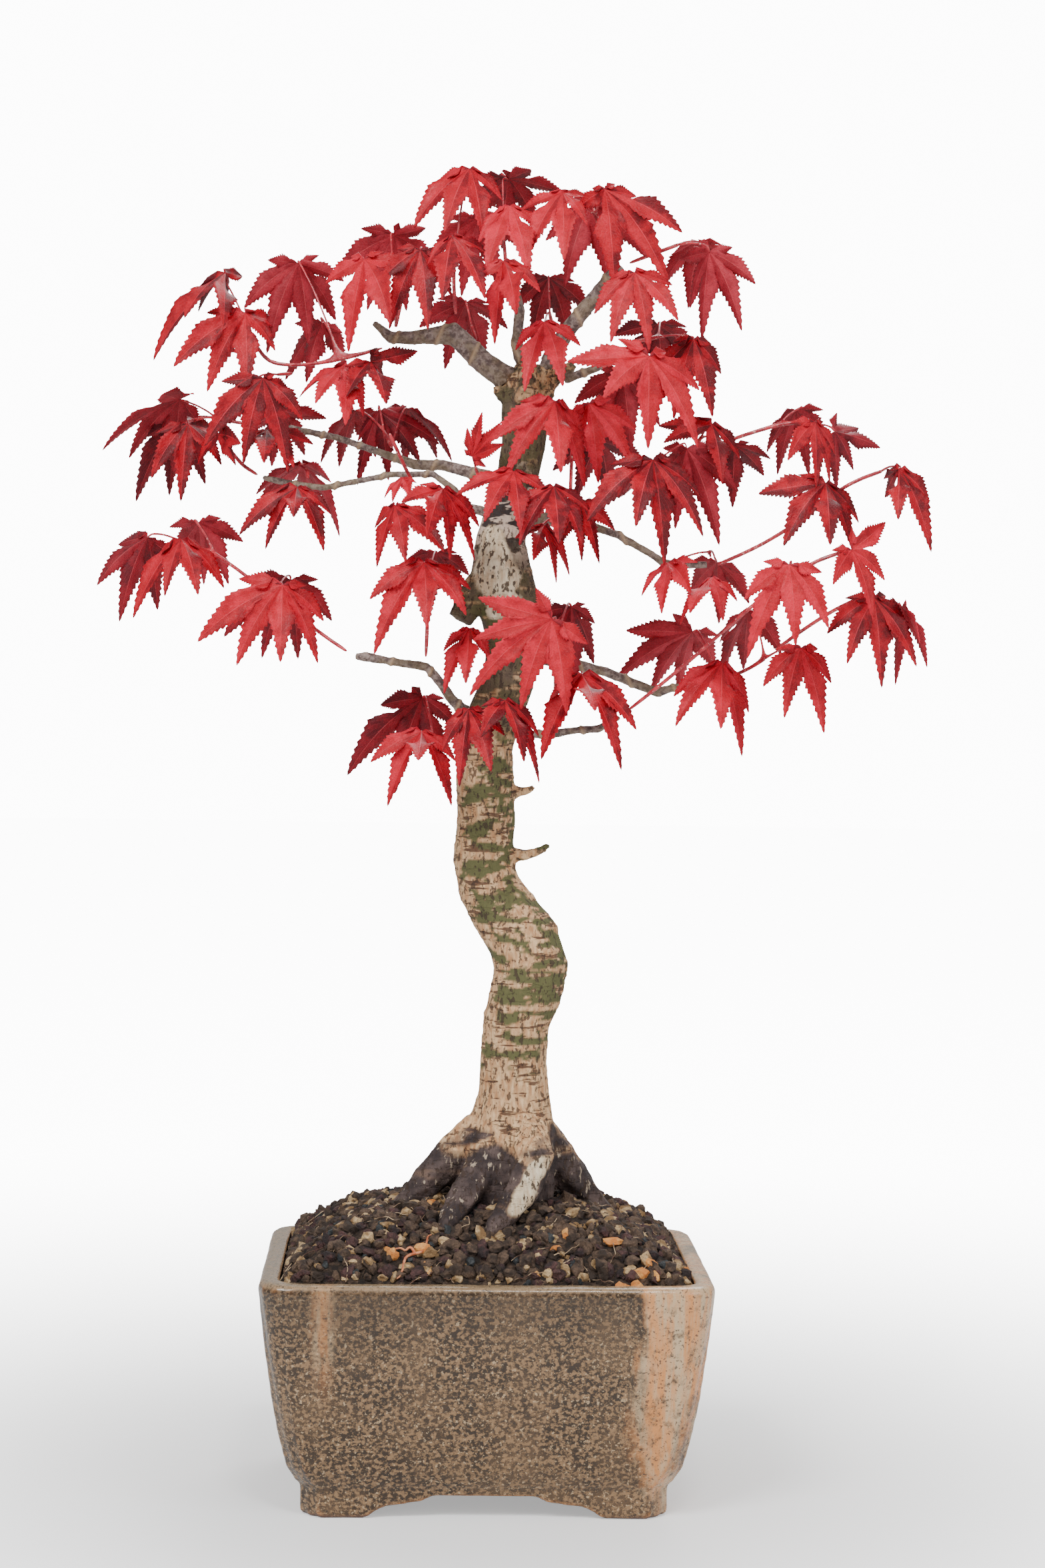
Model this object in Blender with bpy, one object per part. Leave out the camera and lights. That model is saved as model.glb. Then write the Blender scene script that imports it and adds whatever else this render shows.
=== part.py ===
"""A red-leaved maple bonsai in a glazed rectangular pot.

The tree stands in a mound of granular soil in a footed pot. Wood, red shoots and leaves are separate
pieces. Units are metres, +Z is up, +Y points away from the front, and the origin is on the resting
plane under the middle of the pot.
"""
import math

import bmesh
import bpy
from mathutils import Matrix, Vector
from mathutils.bvhtree import BVHTree

MM = 0.001

# ---- driving dimensions -------------------------------------------------------------------------
POT_LENGTH = 0.1700          # outside of the rim, left to right
POT_WIDTH = 0.1300           # outside of the rim, front to back
POT_HEIGHT = 0.0888
BASE_LENGTH = 0.1394         # outside of the body just above the feet
BASE_WIDTH = 0.1066
WALL = 0.0070
LIP_WIDTH = 0.0085           # flat top of the rim
LIP_ROUND = 0.0025           # rounding of the rim's edges
FLOOR_THICKNESS = 0.0060
FLARE = 0.55                 # exponent of the wall's outward curve
CORNER_NOTCH = 0.0064        # width of the set-back corner column
NOTCH_STEP = 0.0018          # how far the column is set back
RIM_CORNER = 0.0120          # corner radius of the rim
FOOT_HEIGHT = 0.0120
FOOT_INSET = 0.0012          # foot band set in under the body
FOOT_WALL = 0.0090
FOOT_RUN = 0.0244            # length of each foot along the front
SIDE_FOOT_RUN = 0.0225       # length of each foot along the side
APRON_RISE = 0.0085          # height of the arch between the feet
DRAIN_RADIUS = 0.0090
DRAIN_SPACING = 0.0720       # between the two drain holes
MESH_SIZE = 0.0220           # square of drain mesh over each hole
MESH_THICKNESS = 0.0010
MESH_BAR = 0.0015
MESH_CELLS = 3
WIRE_RADIUS = 0.0006
WIRE_FOLD = 0.0130           # length of the staple's folded ends under the pot
SOIL_DROP = 0.0020           # soil edge below the rim
SOIL_PEAK = 0.0232           # soil crown above the rim
FIT_GAP = 0.0003             # clearance between pieces that touch
TRUNK_SCALE = 1.0            # girth of trunk and roots
BRANCH_SCALE = 1.0           # girth of branches
SHOOT_RADIUS = 0.0009
PETIOLE_RADIUS = 0.00055
LEAF_LENGTH = 0.0370         # hub to tip of a full-grown middle lobe
LOBE_WIDTH = 0.30            # widest part of a lobe as a share of its length
LOBE_SPREAD = math.radians(28)   # least angle between the midribs of two lobes
LEAF_THICKNESS = 0.0012      # at the hub; the rim of the blade is a thin edge
EYE = Vector((-0.029, -1.154, 0.305))   # viewpoint of the front elevation that places are drawn in

POT_GLAZE = ((0.165, 0.115, 0.078), 0.32, 0.0)
SOIL_BROWN = ((0.085, 0.052, 0.034), 0.95, 0.0)
BARK_GREY = ((0.235, 0.195, 0.140), 0.85, 0.0)
TWIG_GREY = ((0.300, 0.235, 0.200), 0.80, 0.0)
LEAF_RED = ((0.420, 0.022, 0.042), 0.50, 0.0)
MESH_BLACK = ((0.020, 0.020, 0.020), 0.60, 0.0)
WIRE_METAL = ((0.550, 0.330, 0.200), 0.35, 1.0)


# ---- helpers --------------------------------------------------------------------------------------
def material(name, finish):
    """One plain Principled material."""
    colour, roughness, metallic = finish
    found = bpy.data.materials.get(name)
    if found:
        return found
    made = bpy.data.materials.new(name)
    made.use_nodes = True
    shader = made.node_tree.nodes["Principled BSDF"]
    shader.inputs["Base Color"].default_value = (*colour, 1.0)
    shader.inputs["Roughness"].default_value = roughness
    shader.inputs["Metallic"].default_value = metallic
    return made


def to_object(name, bm, finish=None):
    """Turn a bmesh into a linked object."""
    bmesh.ops.recalc_face_normals(bm, faces=bm.faces)
    bmesh.ops.triangulate(bm, faces=bm.faces)
    mesh = bpy.data.meshes.new(name)
    bm.to_mesh(mesh)
    bm.free()
    made = bpy.data.objects.new(name, mesh)
    bpy.context.scene.collection.objects.link(made)
    if finish:
        mesh.materials.append(material(*finish))
        mesh.shade_smooth()
        mesh.set_sharp_from_angle(angle=math.radians(35))
    return made


def skin(rings, loop=False):
    """A closed body through rings of equal size, with flat ends unless it loops round."""
    bm = bmesh.new()
    rows = [[bm.verts.new(point) for point in ring] for ring in rings]
    pairs = list(zip(rows, rows[1:]))
    if loop:
        pairs.append((rows[-1], rows[0]))
    for low, high in pairs:
        for i in range(len(low)):
            j = (i + 1) % len(low)
            bm.faces.new((low[i], low[j], high[j], high[i]))
    if not loop:
        bm.faces.new(rows[0])
        bm.faces.new(rows[-1])
    return bm


def combine(target, others, operation):
    """Apply one exact Boolean of the other objects to the target, and remove them."""
    group = bpy.data.collections.new("operands")
    bpy.context.scene.collection.children.link(group)
    for other in others:
        group.objects.link(other)
        other.hide_render = True
        other.display_type = "WIRE"
    modifier = target.modifiers.new(operation.lower(), "BOOLEAN")
    modifier.operand_type = "COLLECTION"
    modifier.collection = group
    modifier.solver = "EXACT"
    modifier.operation = operation
    bpy.context.view_layer.update()
    graph = bpy.context.evaluated_depsgraph_get()
    mesh = bpy.data.meshes.new_from_object(target.evaluated_get(graph))
    target.modifiers.clear()
    target.data = mesh
    for other in others:
        bpy.data.objects.remove(other)
    bpy.data.collections.remove(group)
    return target


def smooth_route(points, steps):
    """Points of a Catmull-Rom curve through the given ones."""
    if len(points) < 3 or steps < 2:
        return list(points)
    padded = [points[0] * 2 - points[1], *points, points[-1] * 2 - points[-2]]
    route = []
    for a, b, c, d in zip(padded, padded[1:], padded[2:], padded[3:]):
        for k in range(steps):
            t = k / steps
            route.append(0.5 * (2 * b + (c - a) * t + (2 * a - 5 * b + 4 * c - d) * t ** 2
                                + (3 * b - a - 3 * c + d) * t ** 3))
    route.append(points[-1])
    return route


def tube(points, radii, sides, depth_ratio=1.0):
    """A round, tapered tube along a route; the ring frame turns as little as it can."""
    route = [Vector(point) for point in points]
    count = len(route)
    across = None
    rings = []
    for i, centre in enumerate(route):
        ahead = (route[min(i + 1, count - 1)] - route[max(i - 1, 0)]).normalized()
        if across is None:
            guide = Vector((1, 0, 0)) if abs(ahead.x) < 0.8 else Vector((0, 0, 1))
            across = guide
        across = (across - ahead * across.dot(ahead)).normalized()
        other = ahead.cross(across)
        radius = radii[i] if hasattr(radii, "__len__") else radii
        ring = []
        for k in range(sides):
            turn = math.tau * (k + 0.5) / sides
            ring.append(centre + radius * (across * math.cos(turn) + other * (math.sin(turn) * depth_ratio)))
        rings.append(ring)
    return skin(rings)


def box(name, low, high):
    """An axis-aligned block, used as a cutter."""
    bm = bmesh.new()
    bmesh.ops.create_cube(bm, size=1.0)
    size = Vector(high) - Vector(low)
    bmesh.ops.scale(bm, verts=bm.verts, vec=size)
    bmesh.ops.translate(bm, verts=bm.verts, vec=Vector(low) + size / 2)
    return to_object(name, bm)


def drawn(x, z, y):
    """A place drawn in the front elevation at (x, z), slid along its line of sight to depth y; in mm."""
    depth = y * MM
    ratio = (depth - EYE.y) / -EYE.y
    return Vector((EYE.x + (x * MM - EYE.x) * ratio, depth, EYE.z + (z * MM - EYE.z) * ratio))


# ---- pot ------------------------------------------------------------------------------------------
def wall_half(z, inset=0.0):
    """Half length and half width of the pot's outside at height z, less an inset."""
    rise = max(0.0, z - FOOT_HEIGHT) / (POT_HEIGHT - FOOT_HEIGHT)
    swell = min(1.0, rise) ** FLARE
    half_length = (BASE_LENGTH + (POT_LENGTH - BASE_LENGTH) * swell) / 2
    half_width = (BASE_WIDTH + (POT_WIDTH - BASE_WIDTH) * swell) / 2
    return half_length - inset, half_width - inset


def pot_ring(half_x, half_y, z, notch, step):
    """One level outline of the pot: flat panels and a set-back quarter-round column at each corner."""
    corner = [(0.0, -notch)]
    for k in range(4):
        turn = math.pi / 6 * k
        corner.append(((notch - step) * math.sin(turn), -(notch - step) * math.cos(turn)))
    corner.append((notch, 0.0))
    ring = []
    for quarter in range(4):
        cos, sin = (1, 0, -1, 0)[quarter], (0, 1, 0, -1)[quarter]
        along_x, along_y = (half_x, half_y) if quarter % 2 == 0 else (half_y, half_x)
        for u, v in corner:
            x, y = along_x - notch + u, -(along_y - notch) + v
            ring.append(Vector((x * cos - y * sin, x * sin + y * cos, z)))
    return ring


def cavity_rings(gap, top):
    """The pot's inside, less a gap, from just above the floor up to the given height."""
    floor = FOOT_HEIGHT + FLOOR_THICKNESS + gap
    rings = []
    for k in range(6):
        z = floor + (top - floor) * (k / 5) ** 1.6
        half_x, half_y = wall_half(z, WALL + gap)
        if k == 0:
            half_x, half_y = half_x - 0.002, half_y - 0.002
        rings.append(pot_ring(half_x, half_y, z, RIM_CORNER - WALL / 2, 0.0001))
    return rings


def foot_cutter(name, half_span, run, reach, along_front):
    """The ogee-edged opening between two feet, as a bar through the foot band."""
    half = half_span - run
    scroll = 0.0240 if along_front else min(0.0240, half - 0.004)
    profile = [(half, -0.002), (half, 0.0), (half - 0.15 * scroll, 0.32 * APRON_RISE),
               (half - 0.29 * scroll, 0.52 * APRON_RISE), (half - 0.86 * scroll, 0.73 * APRON_RISE),
               (half - scroll, 0.94 * APRON_RISE), (half - scroll - 0.0018, APRON_RISE)]
    outline = profile + [(-u, z) for u, z in reversed(profile)]
    rings = []
    for side in (-reach, reach):
        if along_front:
            rings.append([Vector((u, side, z)) for u, z in outline])
        else:
            rings.append([Vector((side, u, z)) for u, z in outline])
    return to_object(name, skin(rings))


def drain_centres():
    return (-DRAIN_SPACING / 2, DRAIN_SPACING / 2)


def build_pot():
    """Glazed stoneware tub on four corner feet, with two drain holes."""
    outer = []
    for k in range(6):
        z = FOOT_HEIGHT + (POT_HEIGHT - LIP_ROUND - FOOT_HEIGHT) * (k / 5) ** 1.5
        blend = (k / 5) ** 4
        notch = CORNER_NOTCH + (RIM_CORNER - CORNER_NOTCH) * blend
        step = NOTCH_STEP + (0.0002 - NOTCH_STEP) * blend
        outer.append(pot_ring(*wall_half(z), z, notch, step))
    rim_x, rim_y = POT_LENGTH / 2, POT_WIDTH / 2
    shoulder = LIP_ROUND * 0.35
    outer.append(pot_ring(rim_x - shoulder, rim_y - shoulder, POT_HEIGHT - shoulder, RIM_CORNER, 0.0002))
    outer.append(pot_ring(rim_x - LIP_ROUND, rim_y - LIP_ROUND, POT_HEIGHT, RIM_CORNER - LIP_ROUND, 0.0002))
    inside_corner = RIM_CORNER - WALL / 2
    inner_x, inner_y = rim_x - LIP_WIDTH, rim_y - LIP_WIDTH
    outer.append(pot_ring(inner_x, inner_y, POT_HEIGHT, inside_corner, 0.0001))
    outer += list(reversed(cavity_rings(0.0, POT_HEIGHT - LIP_ROUND)))
    pot = to_object("pot", skin(outer), ("pot glaze", POT_GLAZE))

    foot_x, foot_y = wall_half(FOOT_HEIGHT, FOOT_INSET)
    band = []
    for inset, z in ((0.0008, 0.0), (0.0, 0.0015), (0.0, FOOT_HEIGHT + 0.001),
                     (FOOT_WALL, FOOT_HEIGHT + 0.001), (FOOT_WALL, 0.0)):
        band.append(pot_ring(foot_x - inset, foot_y - inset, z, CORNER_NOTCH, NOTCH_STEP))
    feet = to_object("feet", skin(band, loop=True))
    cutters = [foot_cutter("front_arch", foot_x, FOOT_RUN, POT_WIDTH, True),
               foot_cutter("side_arch", foot_y, SIDE_FOOT_RUN, POT_LENGTH, False)]
    combine(feet, cutters, "DIFFERENCE")
    combine(pot, [feet], "UNION")
    drains = []
    for centre in drain_centres():
        bm = bmesh.new()
        bmesh.ops.create_cone(bm, cap_ends=True, segments=16, radius1=DRAIN_RADIUS, radius2=DRAIN_RADIUS,
                              depth=4 * FLOOR_THICKNESS)
        bmesh.ops.translate(bm, verts=bm.verts, vec=(centre, 0, FOOT_HEIGHT + FLOOR_THICKNESS / 2))
        drains.append(to_object("drain", bm))
    combine(pot, drains, "DIFFERENCE")
    return pot


def mesh_pitch():
    return (MESH_SIZE - MESH_BAR) / MESH_CELLS


def build_drain_mesh(name, centre):
    """A square of plastic mesh that lies over a drain hole."""
    lines = 2 * MESH_CELLS + 1
    bm = bmesh.new()
    bmesh.ops.create_grid(bm, x_segments=lines, y_segments=lines, size=lines / 2)
    hole = mesh_pitch() - MESH_BAR
    holes = []
    for face in bm.faces:
        place = face.calc_center_median()
        column, row = round(place.x + lines / 2 - 0.5), round(place.y + lines / 2 - 0.5)
        if column % 2 and row % 2:
            holes.append(face)
    for vert in bm.verts:
        for axis in (0, 1):
            line = round(vert.co[axis] + lines / 2)
            cells, edge = divmod(line, 2)
            vert.co[axis] = cells * mesh_pitch() + edge * MESH_BAR - MESH_SIZE / 2
    bmesh.ops.delete(bm, geom=holes, context="FACES")
    base = FOOT_HEIGHT + FLOOR_THICKNESS + FIT_GAP
    raised = bmesh.ops.extrude_face_region(bm, geom=bm.faces[:], use_keep_orig=True)
    top = [item for item in raised["geom"] if isinstance(item, bmesh.types.BMVert)]
    bmesh.ops.translate(bm, verts=top, vec=(0, 0, MESH_THICKNESS))
    bmesh.ops.translate(bm, verts=bm.verts, vec=(centre, 0, base))
    return to_object(name, bm, ("drain mesh", MESH_BLACK))


def wire_top():
    return FOOT_HEIGHT + FLOOR_THICKNESS + 2 * FIT_GAP + MESH_THICKNESS + WIRE_RADIUS


def build_mesh_wire(name, centre):
    """A wire staple that holds the mesh: over it, down through the hole, and folded out underneath."""
    leg = mesh_pitch()
    under = FOOT_HEIGHT - FIT_GAP - WIRE_RADIUS
    reach = leg + WIRE_FOLD
    route = [(-reach, under), (-leg - 0.001, under), (-leg, under + 0.001), (-leg, wire_top() - 0.001),
             (-leg + 0.001, wire_top())]
    route = route + [(-x, z) for x, z in reversed(route)]
    points = [Vector((centre + x, 0.0, z)) for x, z in route]
    return to_object(name, tube(points, WIRE_RADIUS, 6), ("staple wire", WIRE_METAL))


# ---- trunk and soil -------------------------------------------------------------------------------
# Trunk stations from the roots up: x, y, z, half width, half depth, in mm.
TRUNK = [(6, 0, 97, 21, 19), (6, 0, 108, 21, 19), (6.5, 0, 120, 20.5, 18.5), (8, -1, 131, 19.5, 17.5),
         (10, -1, 141, 17, 15.5), (10.5, -2, 152, 14.2, 13.6), (10, -3, 165, 13.3, 13.0),
         (11, -3, 180, 13.2, 12.8), (14.5, -3, 191, 14.2, 13.2), (16.5, -2, 201, 14.8, 13.4),
         (13, 0, 212, 14.2, 13.0), (5.5, 3, 222, 13.0, 12.4), (-0.5, 5, 232, 12.2, 12.0),
         (-2.6, 6, 243, 11.8, 11.6), (-1.6, 5, 257, 11.5, 11.2), (-2.2, 3, 272, 11.4, 11.0),
         (-3.0, 1, 286, 11.2, 10.6), (1.5, -1, 299, 10.6, 10.2), (6, -3, 311, 10.2, 9.8),
         (8, -4, 326, 10.8, 10.0), (5.5, -4, 341, 12.0, 10.6), (2.6, -3, 353, 11.9, 10.4),
         (2.4, -1, 365, 10.0, 9.2), (5, 1, 377, 8.4, 8.0), (8.5, 3, 389, 8.2, 7.8),
         (10.8, 4, 402, 8.8, 8.2), (11.5, 4, 415, 9.8, 9.0), (12.5, 4, 426, 9.2, 8.4),
         (13.5, 4, 433, 5.4, 5.0)]
# Roots: points x, y, z and radius, in mm; each starts inside the trunk and dives into the soil.
ROOTS = [[(15, -10, 140, 9), (18, -20, 130, 8.5), (13, -26, 118, 7), (6, -32, 109, 5), (0, -38, 101, 3)],
         [(-2, -2, 138, 9), (-13, -4, 128, 8.5), (-23, -6, 117, 7), (-33, -8, 107, 5), (-42, -10, 99, 3)],
         [(18, 2, 138, 9), (28, 4, 126, 8), (37, 6, 114, 6.5), (46, 8, 105, 4.5), (54, 10, 98, 3)],
         [(8, 8, 138, 9), (11, 20, 124, 8), (15, 31, 111, 6), (19, 41, 101, 3.5)],
         [(0, 6, 134, 8), (-11, 18, 119, 7), (-20, 29, 107, 5), (-27, 37, 99, 3)],
         [(2, -8, 130, 7), (-7, -19, 117, 6.5), (-14, -28, 107, 5), (-20, -36, 99, 3)]]
# Cut stubs left on the trunk: points x, y, z and radius, in mm.
STUBS = [[(-1, -4, 352, 8), (-8, -5, 343, 6.5), (-13, -6, 334, 5.5)],
         [(5, 5, 268, 4), (13, 3, 268.5, 2), (17, 2, 270, 1.2)],
         [(5, 5, 244, 4), (14, 2, 243.5, 2), (23, 0, 248, 1.2)],
         [(4, 4, 421, 4), (-1, 1, 423, 1.6)],
         [(10, -2, 421, 5), (11, -9, 420, 3.4)],
         [(18, 3, 425, 5), (24, -2, 429, 3.0), (30, -4, 433, 2.2)]]


def taper(points, steps):
    """A smooth route and its radii from (x, y, z, radius) points in mm."""
    places = smooth_route([Vector(point[:3]) * MM for point in points], steps)
    sizes = smooth_route([Vector((point[3], 0, 0)) * MM for point in points], steps)
    return places, [size.x for size in sizes]


def trunk_parts(grow, stations, with_stubs):
    """The trunk, roots and stubs as overlapping solids, each a clearance larger when grow is set."""
    places, widths = taper([(x, y, z, half) for x, y, z, half, _ in stations], 1)
    sizes = [size * TRUNK_SCALE + grow for size in widths]
    parts = [to_object("trunk", tube(places, sizes, 10, 0.94))]
    limbs = ROOTS + (STUBS if with_stubs else [])
    for limb in limbs:
        route, radii = taper(limb, 1)
        parts.append(to_object("limb", tube(route, [r * TRUNK_SCALE + grow for r in radii], 6)))
    return parts


def build_trunk():
    """The S-shaped trunk with its root flare and pruning stubs, in one piece."""
    parts = trunk_parts(0.0, TRUNK, True)
    trunk = combine(parts[0], parts[1:], "UNION")
    trunk.data.materials.clear()
    trunk.data.materials.append(material("bark", BARK_GREY))
    return trunk


def build_soil():
    """Granular soil that fills the pot and is mounded round the roots."""
    edge = POT_HEIGHT - SOIL_DROP
    rings = cavity_rings(FIT_GAP, edge)
    half_x, half_y = wall_half(edge, WALL + FIT_GAP)
    for share in (0.90, 0.78, 0.62, 0.42, 0.20):
        z = edge + (SOIL_PEAK + SOIL_DROP) * (1 - share ** 3)
        corner = (RIM_CORNER - WALL / 2) * share
        rings.append(pot_ring(half_x * share, half_y * share, z, corner, 0.0001))
    soil = to_object("soil", skin(rings), ("soil", SOIL_BROWN))
    cutters = trunk_parts(2 * FIT_GAP, [station for station in TRUNK if station[2] < 160], False)
    pocket_half = MESH_SIZE / 2 + FIT_GAP
    for centre in drain_centres():
        low = (centre - pocket_half, -pocket_half, FOOT_HEIGHT)
        high = (centre + pocket_half, pocket_half, wire_top() + WIRE_RADIUS + FIT_GAP)
        cutters.append(box("pocket", low, high))
    return combine(soil, cutters, "DIFFERENCE")


# ---- branches -------------------------------------------------------------------------------------
# Branches as drawn in the front elevation: x, z, depth y and radius, in mm, from the trunk outwards.
BRANCHES = {
    "branch_top_left": [(4, 427, 4, 5), (-5, 433, 6, 4.7), (-12, 439.5, 8, 4.4), (-17, 444, 9, 4.8),
                        (-24, 443, 10, 3.6), (-33, 442, 11, 2.8), (-41, 442, 12, 2.6), (-47.5, 447.5, 13, 1.2)],
    "branch_top_middle": [(9, 433, 5, 2.6), (7.5, 442, 7, 2.3), (8.5, 453, 9, 2.2), (6.5, 461, 11, 2.0),
                          (4, 466, 12, 1.6)],
    "branch_top_right": [(19, 432, 2, 3.6), (27, 446, 0, 3.3), (35, 456, -3, 3.1), (44, 467, -6, 3.0),
                         (47, 471, -7, 2.4)],
    "twig_top_right": [(24, 426, -3, 2.0), (31, 429, -9, 1.8), (38, 431.5, -15, 1.6), (45, 435, -20, 1.3)],
    "twig_left_upper": [(-1, 389, 6, 2.8), (-10, 391, 12, 2.5), (-20, 393.5, 17, 2.3), (-31, 393.5, 21, 2.2),
                        (-40, 396.5, 24, 1.7), (-60, 403, 30, 1.4), (-70, 405, 33, 1.5), (-85, 407.5, 38, 1.7)],
    "twig_left_middle": [(-3, 376, -2, 2.2), (-12, 377.5, -3, 2.0), (-15.5, 384, -2, 1.6),
                         (-24, 390, 2, 1.4), (-40, 389.5, 6, 1.3), (-66, 384, 12, 1.3), (-79, 385.5, 16, 1.4),
                         (-89, 387.5, 19, 1.2)],
    "twig_left_low": [(-8, 297, -2, 2.4), (-15, 303, -6, 2.2), (-20, 310, -9, 2.0), (-25.5, 316, -12, 1.9),
                      (-40, 318, -12, 1.6), (-49, 319.5, -12, 2.1), (-53, 319.5, -12, 1.2)],
    "twig_right_middle": [(14, 374, 0, 3.0), (24, 373, 0, 2.6), (36, 371.5, -1, 2.0), (47, 368, -3, 1.6),
                          (60, 361, -6, 1.5), (66, 357, -8, 1.9), (75, 356.5, -10, 1.3), (82, 357, -12, 1.5)],
    "twig_right_low": [(17, 320, 4, 2.6), (33, 317.5, 8, 2.3), (44, 315, 10, 2.0), (58, 309.5, 12, 1.9),
                       (64, 307.5, 12, 2.2), (72, 310, 10, 1.3), (80, 311.5, 8, 1.1)],
    "twig_right_dark": [(7, 290, -4, 2.0), (15, 290.5, -8, 1.6), (24, 291, -12, 1.9), (33, 292.5, -15, 1.4),
                        (41, 293, -17, 1.7), (49, 297.5, -20, 1.0)],
}

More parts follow.
